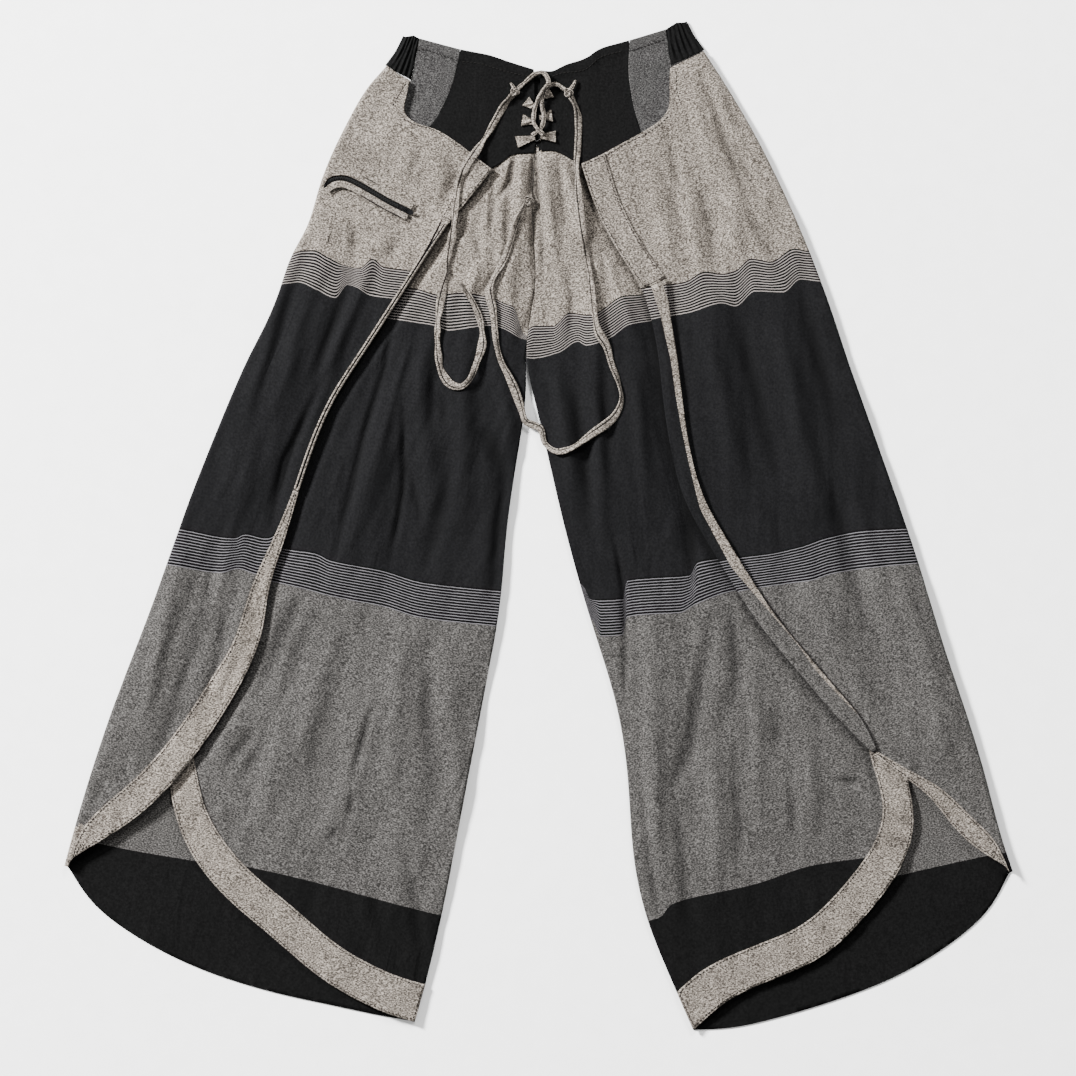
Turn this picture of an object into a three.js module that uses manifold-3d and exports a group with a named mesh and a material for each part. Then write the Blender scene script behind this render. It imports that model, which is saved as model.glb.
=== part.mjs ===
// Palazzo pants with wrap-split legs, laid flat with the front up. Millimetres.
// +X is to the right of the picture, +Y towards the waist and +Z up from the surface.
// Left and right are those of the picture. The origin is below the middle of the outline.
import * as THREE from 'three';
import { mergeVertices } from 'three/addons/utils/BufferGeometryUtils.js';
import Module from 'manifold-3d';

// Driving sizes
const CLOTH = 1.2;                   // wall of the woven cotton
const GAP = 0.3;                     // air between pieces that are sewn or lie together
const LAYER = CLOTH + GAP;           // step from one layer of cloth to the next
const INNER_Z = LAYER;               // underside of the inner fronts, which lie on the back
const FLAP_Z = 2 * LAYER;            // underside of the wrap flaps and the front yoke
const SIDE_RADIUS = 4;               // plan depth of the round fold down the outer side
const SIDE_RISE = 1.8;               // the flap stands this much higher at that fold
const SIDE_REACH = 22;               // and comes down over this width
const TRIM = 1.0;                    // wall of the light trims
const TURNED = 2.4;                  // two walls of a turned or rolled edge
const TRIM_WIDTH = 33;               // bands along the flaps
const WAIST_HEM = 10;                // turned hem along the waist
const YOKE_HEIGHT = 100;             // waist to the lower line of the yoke
const TIE_WIDTH = 9;
const TIE_THICK = 2.4;
const LACE_WIDTH = 5;
const LACE_THICK = 3;

// Divisions of the walls
const LEG_ROWS = 24;
const BACK_COLUMNS = 9;
const FOLD_STEPS = 4;
const FLAP_COLUMNS = 12;
const TRIM_COLUMNS = 2;
const INNER_COLUMNS = 14;
const INNER_ROWS = 24;
const BACK_YOKE_ROWS = 4;
const BACK_YOKE_COLUMNS = 16;
const CORD_SIDES = 8;
const CORD_STEPS = { lace_left: 22, lace_right: 22, left_tie: 46, right_tie: 64 };

// Shares along the leg, from the waist at 0 to the hem at 1
const CROTCH_SHARE = 0.25;           // share of the inner line that is centre seam
const TUCK = 0.012;                  // the top of a flap lies on the yoke over this share
const BAND_STOP = 0.02;              // a band stops this share of a row short of the next one
const ASIDE = 0.01;                  // step to each side that gives a line's direction
const HEM_STEP = 0.04;               // step up from the hem that gives the cloth's direction there

// Where the folds of a panel begin and end, as stretches over which they grow
const FLAP_FADE = { top: [0.03, 0.12], hem: [0.9, 0.99] };
const INNER_FADE = { seamRows: [1, 2.2], hem: [0.85, 0.93], edge: [8, 36] };

// The flap passes over the inner front's trim near the split
const SPLIT_LIFT = 1.3 * (TRIM + GAP);
const SPLIT_REACH = [35, 90];

const LIGHT_GRAY = new THREE.MeshStandardMaterial({ color: 0xa39c93, roughness: 0.95, metalness: 0 });
const MID_GRAY = new THREE.MeshStandardMaterial({ color: 0x6a6a6e, roughness: 0.95, metalness: 0 });
const BLACK = new THREE.MeshStandardMaterial({ color: 0x1e1e1f, roughness: 0.9, metalness: 0 });
const DARK_METAL = new THREE.MeshStandardMaterial({ color: 0x2b2b2d, roughness: 0.4, metalness: 0.9 });

// A short table: one row for each station, with its columns named in the heading.
function table(heading, rows) {
  const names = heading.split(' ');
  return rows.map((row) => Object.fromEntries(names.map((name, k) => [name, row[k]])));
}

// Centre seam, shared by both legs from the yoke down to the crotch
const CENTRE = table('x y', [
  [-2, 424], [-6, 382], [-8, 349], [-4, 305], [-3, 261], [-9, 228], [-18, 208], [-16, 189], [-13, 174],
]);

// Each leg: outer side, inseam, hems and the flap's free edge, all from the waist downwards
const LEFT = {
  name: 'left',
  away: -1,
  split: { x: -402, y: -268 },        // where the hem of the inner front comes out from under the flap
  side: table('x y', [
    [-167, 507], [-192, 479], [-211, 443], [-240, 382], [-252, 330], [-272, 302], [-289, 244],
    [-318, 189], [-342, 134], [-386, 24], [-425, -86], [-467, -196], [-503, -306], [-521, -372],
  ]),
  inseam: table('x y', [
    [-13, 174], [-14, 134], [-23, 79], [-35, -3], [-42, -86], [-62, -196], [-83, -306], [-104, -416],
    [-123, -498], [-136, -544],
  ]),
  backHem: table('x y', [
    [-136, -544], [-152, -545], [-196, -532], [-284, -514], [-372, -487], [-438, -455], [-482, -425],
    [-517, -392], [-521, -372],
  ]),
  edge: table('x y', [
    [-51, 393], [-64, 375], [-98, 335], [-138, 274], [-186, 199], [-229, 132], [-263, 40], [-273, 4],
    [-300, -81], [-303, -121], [-324, -167], [-361, -228], [-403, -283], [-445, -322], [-499, -355],
    [-513, -364],
  ]),
  hidden: table('x y', [
    [-106, 392], [-140, 330], [-190, 260], [-235, 190], [-280, 120], [-312, 40], [-345, -60],
    [-365, -140], [-392, -215], [-408, -275],
  ]),
  frontHem: table('x y', [
    [-137, -545], [-162, -538], [-232, -502], [-293, -451], [-353, -398], [-389, -347], [-403, -300],
    [-408, -275],
  ]),
  innerTop: table('share x y', [
    [0, -2, 424], [0.35, -29, 424], [0.6, -51, 402], [1, -106, 392],
  ]),
  // Where the flap is sewn to the yoke, with the narrow strip that runs up beside it
  flapTop: table('share x y', [
    [0, -167, 507], [1 / 7, -143, 491], [2 / 7, -153, 455], [0.4, -134, 444], [0.55, -112, 438],
    [0.7, -84, 419], [0.85, -66, 404], [1, -51, 393],
  ]),
  backTop: table('share x y', [[0, -2, 424], [7 / 9, -140, 491], [1, -167, 507]]),
  // Bands along the free edge, by rows from the yoke to the hem: each is start wide where it
  // begins and width wide from the row where it is grown
  bands: table('name from to start width grown thick', [
    ['flap_trim_upper', 0, 2, TRIM_WIDTH, 14, 2, TRIM],
    ['flap_rolled_edge', 2, 11, 14, 7, 3, TURNED],
    ['flap_trim_lower', 11, LEG_ROWS, 7, TRIM_WIDTH, 17, TRIM],
  ]),
  // Width of the band along the hem of the inner front, from the inseam outwards
  hemBand: table('share wide', [[0, 43], [0.3, 40], [0.75, 39], [0.92, 35], [1, 25]]),
};

const RIGHT = {
  name: 'right',
  away: 1,
  split: { x: 400, y: -256 },
  side: table('x y', [
    [182, 523], [210, 479], [235, 437], [263, 382], [288, 327], [320, 244], [338, 189], [377, 79],
    [415, -31], [449, -141], [485, -251], [514, -361], [521, -378],
  ]),
  inseam: table('x y', [
    [-13, 174], [-3, 134], [10, 79], [29, -3], [52, -86], [86, -196], [97, -262], [100, -306],
    [105, -372], [119, -432], [149, -505], [170, -553],
  ]),
  backHem: table('x y', [
    [170, -553], [186, -557], [222, -550], [310, -526], [398, -493], [442, -467], [486, -434],
    [519, -396], [521, -378],
  ]),
  edge: table('x y', [
    [47, 399], [58, 363], [81, 311], [112, 268], [123, 235], [133, 182], [138, 129], [159, 31],
    [191, -25], [243, -108], [295, -170], [335, -217], [375, -255], [411, -282], [435, -298],
    [458, -335], [483, -356], [513, -372],
  ]),
  hidden: table('x y', [
    [104, 392], [130, 330], [165, 270], [178, 190], [186, 110], [212, 20], [255, -60], [300, -120],
    [345, -180], [385, -225], [404, -255],
  ]),
  frontHem: table('x y', [
    [171, -553], [207, -520], [250, -500], [313, -472], [365, -421], [403, -366], [414, -322],
    [408, -292], [404, -255],
  ]),
  innerTop: table('share x y', [
    [0, -2, 424], [0.25, 22, 426], [0.5, 42, 406], [1, 104, 392],
  ]),
  flapTop: table('share x y', [
    [0, 182, 523], [1 / 7, 145, 505], [2 / 7, 148, 459], [0.4, 131, 444], [0.55, 111, 432],
    [0.7, 85, 418], [0.85, 66, 407], [1, 47, 399],
  ]),
  backTop: table('share x y', [[0, -2, 424], [7 / 9, 146, 506], [1, 182, 523]]),
  bands: table('name from to start width grown thick', [
    ['flap_trim_upper', 0, 4, TRIM_WIDTH, TRIM_WIDTH, 1, TRIM],
    ['flap_turned_edge', 4, 19, TRIM_WIDTH, 22, 5, TURNED],
    ['flap_trim_lower', 19, LEG_ROWS, 5, 29, 23, TRIM],
  ]),
  hemBand: table('share wide', [[0, 43], [0.5, 40], [0.8, 38], [0.93, 30], [1, 24]]),
};

// Soft folds, as ridges along a line: how wide to each side and how high
const FOLDS = {
  left_flap: table('x0 y0 x1 y1 wide high', [
    [-232, 240, -300, 60, 17, 4.5], [-292, 190, -352, 10, 15, 3.5], [-396, -50, -440, -230, 24, 4.5],
    [-345, -50, -384, -190, 16, 3.5], [-212, 330, -238, 270, 14, 3],
  ]),
  left_inner: table('x0 y0 x1 y1 wide high', [
    [-14, 404, -15, 310, 7, 5], [-30, 408, -48, 345, 7, 5], [-52, 355, -54, 310, 8, 4],
    [-120, 190, -176, 60, 15, 5], [-92, 178, -96, 20, 17, 5], [-190, 20, -214, -60, 15, 4],
    [-50, 110, -64, -60, 15, 4], [-180, -190, -217, -331, 20, 5], [-120, -150, -150, -400, 21, 4],
    [-262, -160, -276, -350, 20, 4], [-240, -40, -232, -120, 15, 3],
  ]),
  right_flap: table('x0 y0 x1 y1 wide high', [
    [226, 354, 262, 290, 15, 4], [190, 240, 214, 90, 17, 4.5], [270, 200, 312, 20, 18, 4],
    [300, -60, 350, -170, 18, 3.5], [400, -70, 440, -230, 22, 4.5],
  ]),
  right_inner: table('x0 y0 x1 y1 wide high', [
    [10, 404, 12, 300, 7, 5], [27, 402, 34, 330, 7, 4], [46, 372, 50, 310, 8, 4],
    [70, 190, 92, 40, 17, 5], [30, 130, 48, 10, 15, 4], [80, -30, 100, -210, 10, 4],
    [134, -80, 142, -400, 20, 4.5], [190, -120, 222, -400, 21, 4.5], [270, -210, 300, -400, 20, 4],
  ]),
};

// Yoke across the front. Each panel has its two side lines, waist line and lower line.
const YOKE = {
  leftSeam: table('share x y', [[0, -131, 537], [0.5, -140, 491], [1, -157, 452]]),
  leftGray: table('share x y', [
    [0, -86, 525], [1 / 3, -93, 488], [2 / 3, -107, 457], [1, -122, 436],
  ]),
  leftOpening: table('share x y', [[0, -5, 503], [0.5, -4, 459], [1, -4, 411]]),
  rightOpening: table('share x y', [[0, 2, 502], [0.5, 2, 459], [1, 3, 413]]),
  rightGray: table('share x y', [
    [0, 100, 535], [1 / 3, 98, 499], [2 / 3, 104, 462], [1, 115, 427],
  ]),
  rightSeam: table('share x y', [[0, 140, 547], [0.5, 146, 506], [1, 153, 453]]),
  backLeft: table('share x y', [[0, -130.8, 535], [1, -139.8, 492]]),
  backRight: table('share x y', [[0, 139.8, 545], [1, 145.8, 507]]),
  backTop: table('share x y', [
    [0, -130.8, 535], [0.2, -84, 522], [0.47, -5, 500], [0.53, 12, 497], [0.72, 64, 522],
    [1, 139.8, 545],
  ]),
  backLow: table('share x y', [[0, -139.8, 491.4], [0.5, -2, 424.4], [1, 145.8, 506.4]]),
  leftCentreTop: table('share x y', [[0, -86, 525], [0.4, -54, 519], [0.7, -31, 511], [1, -5, 503]]),
  leftCentreLow: table('share x y', [
    [0, -122, 436], [0.3, -84, 411], [0.55, -53, 391], [0.75, -29, 410], [1, -4, 411],
  ]),
  rightCentreTop: table('share x y', [
    [0, 2, 502], [0.15, 15, 500], [0.3, 28, 508], [0.55, 53, 515], [0.7, 66, 526], [1, 100, 535],
  ]),
  rightCentreLow: table('share x y', [
    [0, 3, 413], [0.15, 19, 414], [0.4, 49, 396], [0.7, 80, 408], [1, 115, 427],
  ]),
};

const ELASTIC = {
  left: {
    away: -1,
    side: table('share x y', [[0, -149, 540], [0.4, -157, 523], [1, -168, 508]]),
    seam: table('share x y', [[0, -131.4, 537], [1, -140.4, 492]]),
    top: table('share x y', [[0, -149, 540], [0.5, -139, 541], [1, -131.4, 537]]),
    low: table('share x y', [[0, -168, 508], [1, -140.4, 492]]),
  },
  right: {
    away: 1,
    side: table('share x y', [[0, 163, 556], [0.5, 171, 540], [1, 182, 525]]),
    seam: table('share x y', [[0, 140.4, 547], [1, 146.4, 508]]),
    top: table('share x y', [[0, 163, 556], [0.5, 153, 555], [1, 140.4, 547]]),
    low: table('share x y', [[0, 182, 525], [1, 146.4, 508]]),
  },
  rows: 6,
  columns: 10,
  backColumns: 3,
  radius: 3,                         // plan depth of the round fold at the side
  gathers: 5,                        // ruched ribs across the elastic
  high: 1.6,
};

// Zip of the hip pocket
const ZIP = {
  path: table('x y', [
    [-237, 374.5], [-231, 380], [-223, 383.2], [-212, 383.2], [-198, 377], [-182, 368], [-165, 358],
    [-152, 351.5], [-141, 346],
  ]),
  steps: 16,
  tape: 6,
  tapeThick: 0.8,
  welt: 7,
  weltThick: 1.6,
  clear: 0.5,                        // the pieces lie this far above the flap
  fall: 6,                           // how soon the rise of the side fold ends along the zip
};

// Slider, its bail and the pull tab. The shares are of half the width or length.
const PULL = {
  x: -148,
  y: 349.5,
  turn: -26,                         // direction of the zip's end, in degrees
  bodyLength: 9,
  bodyWidth: 5.8,
  bodyHeight: 2.2,
  noseShare: 0.7,
  tailShare: 0.6,
  shoulder: 0.2,                     // where the nose has grown to full width
  heel: 0.8,                         // and where the tail begins to narrow
  bailWidth: 1.6,
  bailLength: 6.4,
  bailWall: 1.0,
  bailRoom: 2.4,                     // clear height under the bail
  bailSunk: 0.4,                     // depth of its feet in the body
  bailCorner: 0.8,
  roomCorner: 0.4,
  tabLength: 12,
  tabWidth: 5,
  tabThick: 0.9,
  windowWidth: 2.6,
  windowLength: 4.2,
  barWidth: 0.9,
  neckShare: 0.8,
  tipShare: 0.5,
  taper: 2,                          // the tab narrows over this length at its tip
};

// Cloth loops beside the lacing: the middle of the broad sewn end, and the tip that the lace pulls in
const LOOPS = table('name x y tipX tipY', [
  ['left_loop_1', -14, 468, -5, 461], ['left_loop_2', -18, 447, -5, 445],
  ['left_loop_3', -24, 423, -4, 428], ['right_loop_1', 14, 478, 3, 472],
  ['right_loop_2', 15, 452, 1, 450], ['right_loop_3', 19, 429, 2, 429],
]);
const LOOP = { broad: 6.5, narrow: 2.4, taper: 1.3, thick: 2.2, rise: 0.8, rows: 3, columns: 2 };

// Lacing cord between the loops, then the knots and the two long ties
const LACES = {
  lace_left: table('x y z', [
    [5, 431, 13], [-1, 437, 12.9], [-5, 444, 10.6], [-5, 453, 9.7], [-3, 463, 10], [2, 474, 11.8],
    [7, 482, 13], [11, 488, 13], [9, 495, 11], [4, 499, 9], [-3, 498, 8], [-12, 491, 7.2],
    [-22.5, 481.5, 7.9],
  ]),
  lace_right: table('x y z', [
    [-7, 430, 9.4], [3, 438, 9.4], [6, 450, 9.4], [4, 463, 9.2], [5, 474, 9.4], [9, 482, 9.2],
    [14, 486, 8.4], [21, 486, 7.8], [29.1, 480.4, 7.9],
  ]),
};

const KNOTS = table('name x y z wide', [
  ['left_knot', -26, 478, 8, 9], ['right_knot', 33, 477, 8, 9],
  ['right_tie_end_knot', -11, 358, 8.6, 8],
]);
const KNOT = { long: 1.15, flat: 0.7 };

const TIES = {
  left_tie: table('x y z', [
    [-29, 474, 7.6], [-34, 468, 6.4], [-41, 458, 6], [-50, 442, 6], [-57, 430, 7], [-68, 413, 8.9],
    [-80, 394, 8.9], [-87, 375, 8], [-91, 350, 7.5], [-93, 330, 6.2], [-98, 300, 4.7],
    [-101, 278, 4.6], [-108, 245, 4.8], [-111, 215, 5.8], [-110, 190, 7.4], [-107, 172, 8.6],
    [-97, 157, 8.8], [-85, 154, 8.6], [-75, 163, 7.3], [-68, 180, 5.7], [-62, 200, 4.8],
    [-63, 222, 4.6], [-70, 243, 4.6], [-78, 256, 4.6], [-86, 266, 4.6],
  ]),
  right_tie: table('x y z', [
    [35.6, 472.7, 7.6], [39.5, 466, 6.4], [43, 456, 6], [44, 440, 6], [43, 415, 6.4],
    [42, 400, 6.6], [43, 380, 6], [45, 355, 6.6], [51, 310, 7.3], [57, 275, 5.8],
    [61, 240, 5.8], [65, 216, 7.3], [75, 198, 8.8], [80, 180, 8.9], [88, 158, 8.5], [91, 139, 8.6], [83, 121, 9.3], [57, 101, 7.8],
    [37, 87, 8.2], [20, 83, 6.8], [7, 92, 5.4], [2, 108, 5], [-14, 116, 4.9], [-19, 130, 5.2],
    [-25, 148, 4.8], [-32, 164, 4.6], [-41, 182, 4.6], [-46, 200, 4.6], [-48, 218, 4.6],
    [-50, 238, 4.6], [-54, 258, 4.6], [-50, 272, 4.7], [-42, 286, 5.2], [-36, 298, 5.6],
    [-30, 315, 6.6], [-24, 335, 7.8], [-18, 348, 8.4], [-13.8, 354.3, 8.4],
  ]),
};

// Values of a table between its rows, at a share from 0 to 1
function between(rows, share) {
  let k = 1;
  while (k < rows.length - 1 && rows[k].share < share) {
    k += 1;
  }
  const [low, high] = [rows[k - 1], rows[k]];
  const part = (share - low.share) / (high.share - low.share);
  return new THREE.Vector2(low.x + (high.x - low.x) * part, low.y + (high.y - low.y) * part);
}

// Width of a table between its rows, at a share from 0 to 1
function widthAt(rows, share) {
  const k = Math.max(1, rows.findIndex((row) => row.share >= share));
  const [low, high] = [rows[k - 1], rows[k]];
  return THREE.MathUtils.mapLinear(share, low.share, high.share, low.wide, high.wide);
}

// A line of straight stretches through the rows of a table
function line(rows) {
  return (share) => between(rows, share);
}

// A smooth line through the rows of a table, read at a share of its length
function smooth(rows) {
  const spline = new THREE.CatmullRomCurve3(rows.map((row) => new THREE.Vector3(row.x, row.y, 0)));
  spline.curveType = 'centripetal';
  return (share) => {
    const point = spline.getPointAt(THREE.MathUtils.clamp(share, 0, 1));
    return new THREE.Vector2(point.x, point.y);
  };
}

// Point of the surface stretched between four lines that meet at their ends
function patch({ near, far, top, low }, across, down) {
  const [a, b, c, d] = [near(0), far(0), near(1), far(1)];
  const sides = near(down).multiplyScalar(1 - across).addScaledVector(far(down), across);
  const ends = top(across).multiplyScalar(1 - down).addScaledVector(low(across), down);
  const corners = a.multiplyScalar((1 - across) * (1 - down))
    .addScaledVector(b, across * (1 - down))
    .addScaledVector(c, (1 - across) * down)
    .addScaledVector(d, across * down);
  return sides.add(ends).sub(corners);
}

// Direction of a line at a share of its length
function heading(line, share, step = ASIDE) {
  return line(Math.min(share + step, 1)).sub(line(Math.max(share - step, 0))).normalize();
}

// The direction square to another, to its left
function leftOf(along) {
  return new THREE.Vector2(-along.y, along.x);
}

// Distance from a point to a stretch of straight line
function distance(x, y, x0, y0, x1, y1) {
  const [along, up] = [x1 - x0, y1 - y0];
  const share = ((x - x0) * along + (y - y0) * up) / (along * along + up * up);
  const kept = THREE.MathUtils.clamp(share, 0, 1);
  return Math.hypot(x - x0 - along * kept, y - y0 - up * kept);
}

// From 0 before a stretch to 1 beyond it
function grown(value, [from, to]) {
  return THREE.MathUtils.smoothstep(value, from, to);
}

// Height that the folds of a panel add at a point
function folds(name, x, y) {
  return FOLDS[name].reduce((sum, fold) => {
    const off = distance(x, y, fold.x0, fold.y0, fold.x1, fold.y1) / fold.wide;
    return sum + fold.high * Math.exp(-off * off);
  }, 0);
}

// Distance from a point to a line, given by points along it
function offLine(line, x, y) {
  const steps = 40;
  let least = Infinity;
  for (let k = 0; k < steps; k += 1) {
    const [a, b] = [line(k / steps), line((k + 1) / steps)];
    least = Math.min(least, distance(x, y, a.x, a.y, b.x, b.y));
  }
  return least;
}

// Body between two grids of the same size, its upper and lower skin, closed round the rim
function closed(upper, lower) {
  const [rows, columns] = [upper.length, upper[0].length];
  const count = rows * columns;
  const positions = [...upper.flat(), ...lower.flat()].flatMap((point) => [point.x, point.y, point.z]);
  const faces = [];
  const quad = (a, b, c, d) => faces.push(a, b, c, a, c, d);
  const at = (i, j) => i * columns + j;
  for (let i = 0; i < rows - 1; i += 1) {
    for (let j = 0; j < columns - 1; j += 1) {
      quad(at(i, j), at(i + 1, j), at(i + 1, j + 1), at(i, j + 1));
      quad(count + at(i, j), count + at(i, j + 1), count + at(i + 1, j + 1), count + at(i + 1, j));
    }
  }
  for (let i = 0; i < rows - 1; i += 1) {
    const last = columns - 1;
    quad(at(i, 0), count + at(i, 0), count + at(i + 1, 0), at(i + 1, 0));
    quad(at(i + 1, last), count + at(i + 1, last), count + at(i, last), at(i, last));
  }
  for (let j = 0; j < columns - 1; j += 1) {
    const last = rows - 1;
    quad(at(0, j + 1), count + at(0, j + 1), count + at(0, j), at(0, j));
    quad(at(last, j), count + at(last, j), count + at(last, j + 1), at(last, j + 1));
  }
  return outward(positions, faces);
}

// Geometry with its faces turned outwards
function outward(positions, faces) {
  let volume = 0;
  const corner = (k) => new THREE.Vector3().fromArray(positions, 3 * k);
  for (let k = 0; k < faces.length; k += 3) {
    volume += corner(faces[k]).dot(corner(faces[k + 1]).cross(corner(faces[k + 2])));
  }
  if (volume < 0) {
    faces.reverse();
  }
  const geometry = new THREE.BufferGeometry();
  geometry.setAttribute('position', new THREE.Float32BufferAttribute(positions, 3));
  geometry.setIndex(faces);
  geometry.computeVertexNormals();
  return geometry;
}

// Grid of points, each from a function of its row and column
function grid(rows, columns, point) {
  return Array.from({ length: rows + 1 }, (_, i) => (
    Array.from({ length: columns + 1 }, (_, j) => point(i, j))));
}

// Wall that rises straight up from a lower skin
function wall(lower, thick) {
  const lift = (point, i, j) => {
    const high = typeof thick === 'function' ? thick(i, j) : thick;
    return new THREE.Vector3(point.x, point.y, point.z + high);
  };
  return closed(lower.map((row, i) => row.map((point, j) => lift(point, i, j))), lower);
}

// Lines of one leg, as functions of the share down it
function legLines(leg) {
  const seam = smooth(CENTRE);
  const inseam = smooth(leg.inseam);
  const silhouette = smooth(leg.side);
  const gapSide = new THREE.Vector2(leg.away * GAP / 2, 0);
  const inner = (share) => {
    const point = share < CROTCH_SHARE
      ? seam(share / CROTCH_SHARE)
      : inseam((share - CROTCH_SHARE) / (1 - CROTCH_SHARE));
    return point.add(gapSide);
  };
  const outwards = (share) => leftOf(heading(silhouette, share)).multiplyScalar(leg.away);
  // The walls end where the round fold begins, so that the fold reaches the outline
  const side = (share) => silhouette(share).addScaledVector(outwards(share), -SIDE_RADIUS);
  return { inner, outwards, side, edge: smooth(leg.edge), hidden: smooth(leg.hidden) };
}

// A line of a table whose ends are moved to where two other lines begin
function joined(line, start, end) {
  const [first, last] = [start.clone().sub(line(0)), end.clone().sub(line(1))];
  return (share) => line(share).addScaledVector(first, 1 - share).addScaledVector(last, share);
}

function backPatch(leg, lines) {
  const near = lines.inner;
  const far = lines.side;
  const top = joined(line(leg.backTop), near(0), far(0));
  const low = joined(smooth(leg.backHem), near(1), far(1));
  return (across, down) => patch({ near, far, top, low }, across, down);
}

function flapPatch(leg, lines) {
  const near = lines.side;
  const far = lines.edge;
  const top = joined(line(leg.flapTop), near(0), far(0));
  const low = (share) => near(1).lerp(far(1), share);
  return (across, down) => patch({ near, far, top, low }, across, down);
}

// Shares down the leg of the rows of points, with one row more at the end of the tuck
function legStations() {
  return [0, TUCK, ...Array.from({ length: LEG_ROWS - 1 }, (_, k) => (k + 1) / LEG_ROWS), 1];
}

// Share across the flap where the band along its free edge begins
function bandStart(leg, lines, surface, row) {
  const leastSlant = 0.35;
  const [least, most] = [0.03, 0.95];
  const down = row / LEG_ROWS;
  const band = leg.bands.find((stretch) => row < stretch.to || stretch.to === LEG_ROWS);
  const [start, end] = [surface(0, down), surface(1, down)];
  const across = end.clone().sub(start);
  const slant = Math.abs(across.clone().normalize().cross(heading(lines.edge, down)));
  const share = THREE.MathUtils.clamp((row - band.from) / (band.grown - band.from), 0, 1);
  const width = THREE.MathUtils.lerp(band.start, band.width, share);
  const taken = width / (across.length() * Math.max(slant, leastSlant));
  return 1 - THREE.MathUtils.clamp(taken, least, most);
}

// Lower skin of a flap: rows down the leg, columns from the side fold to the free edge
function flapSkin(leg, lines) {
  const surface = flapPatch(leg, lines);
  const columns = FLAP_COLUMNS + TRIM_COLUMNS;
  return legStations().map((down, i) => {
    const row = i < 2 ? 0 : i - 1;
    const start = bandStart(leg, lines, surface, row);
    const fade = grown(down, FLAP_FADE.top) * (1 - grown(down, FLAP_FADE.hem));
    return Array.from({ length: columns + 1 }, (_, j) => {
      const across = j <= FLAP_COLUMNS
        ? start * j / FLAP_COLUMNS
        : start + (1 - start) * (j - FLAP_COLUMNS) / TRIM_COLUMNS;
      const point = surface(across, down);
      const off = point.distanceTo(lines.side(down)) / SIDE_REACH;
      const rise = SIDE_RISE * Math.exp(-off * off);
      const seam = down <= TUCK ? LAYER : 0;
      const apart = Math.hypot(point.x - leg.split.x, point.y - leg.split.y);
      const over = SPLIT_LIFT * (1 - grown(apart, SPLIT_REACH));
      const z = FLAP_Z + rise + seam + over + folds(`${leg.name}_flap`, point.x, point.y) * fade;
      return new THREE.Vector3(point.x, point.y, z);
    });
  });
}

// Back, round side fold and flap in one wall
function folded(backSkin, frontSkin, outwards, radius) {
  const upper = [];
  const lower = [];
  backSkin.forEach((back, i) => {
    const front = frontSkin[i];
    const turn = back[back.length - 1];
    const high = front[0].z + CLOTH;
    const away = outwards(i);
    const outer = back.map((point) => new THREE.Vector3(point.x, point.y, 0));
    const inner = back.map((point) => new THREE.Vector3(point.x, point.y, CLOTH));
    for (let k = 1; k < FOLD_STEPS; k += 1) {
      const angle = -Math.PI / 2 + Math.PI * k / FOLD_STEPS;
      const at = (reach, half) => new THREE.Vector3(
        turn.x + away.x * reach * Math.cos(angle),
        turn.y + away.y * reach * Math.cos(angle),
        high / 2 + half * Math.sin(angle));
      outer.push(at(radius, high / 2));
      inner.push(at(radius - CLOTH, high / 2 - CLOTH));
    }
    front.forEach((point) => {
      outer.push(new THREE.Vector3(point.x, point.y, point.z + CLOTH));
      inner.push(point);
    });
    upper.push(outer);
    lower.push(inner);
  });
  return closed(upper, lower);
}

function outerPanel(leg, lines, skin) {
  const surface = backPatch(leg, lines);
  const stations = legStations();
  const back = grid(stations.length - 1, BACK_COLUMNS, (i, j) => surface(j / BACK_COLUMNS, stations[i]));
  return folded(back, skin, (i) => lines.outwards(stations[i]), SIDE_RADIUS);
}

// Bands along the free edge: the flap's own points, moved out
function flapBands(leg, skin) {
  return leg.bands.map((band) => {
    const first = band.from === 0 ? 0 : band.from + 1;
    const rows = skin.slice(first, band.to + 2);
    const lower = rows.map((row) => row.slice(FLAP_COLUMNS).map((point) => (
      new THREE.Vector3(point.x, point.y, point.z + CLOTH + GAP))));
    const last = lower.length - 1;
    lower[last] = lower[last].map((point, j) => point.clone().lerp(lower[last - 1][j], BAND_STOP));
    return { name: `${leg.name}_${band.name}`, geometry: wall(lower, band.thick) };
  });
}

// Share down an inner front where the band along its hem begins, at a share across
function hemStart(leg, surface, across) {
  const [least, most] = [0.02, 0.12];
  const step = surface(across, 1).sub(surface(across, 1 - HEM_STEP));
  const along = heading((share) => surface(share, 1), across);
  const reach = Math.abs(step.cross(along)) / HEM_STEP;
  return 1 - THREE.MathUtils.clamp(widthAt(leg.hemBand, across) / reach, least, most);
}

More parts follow.
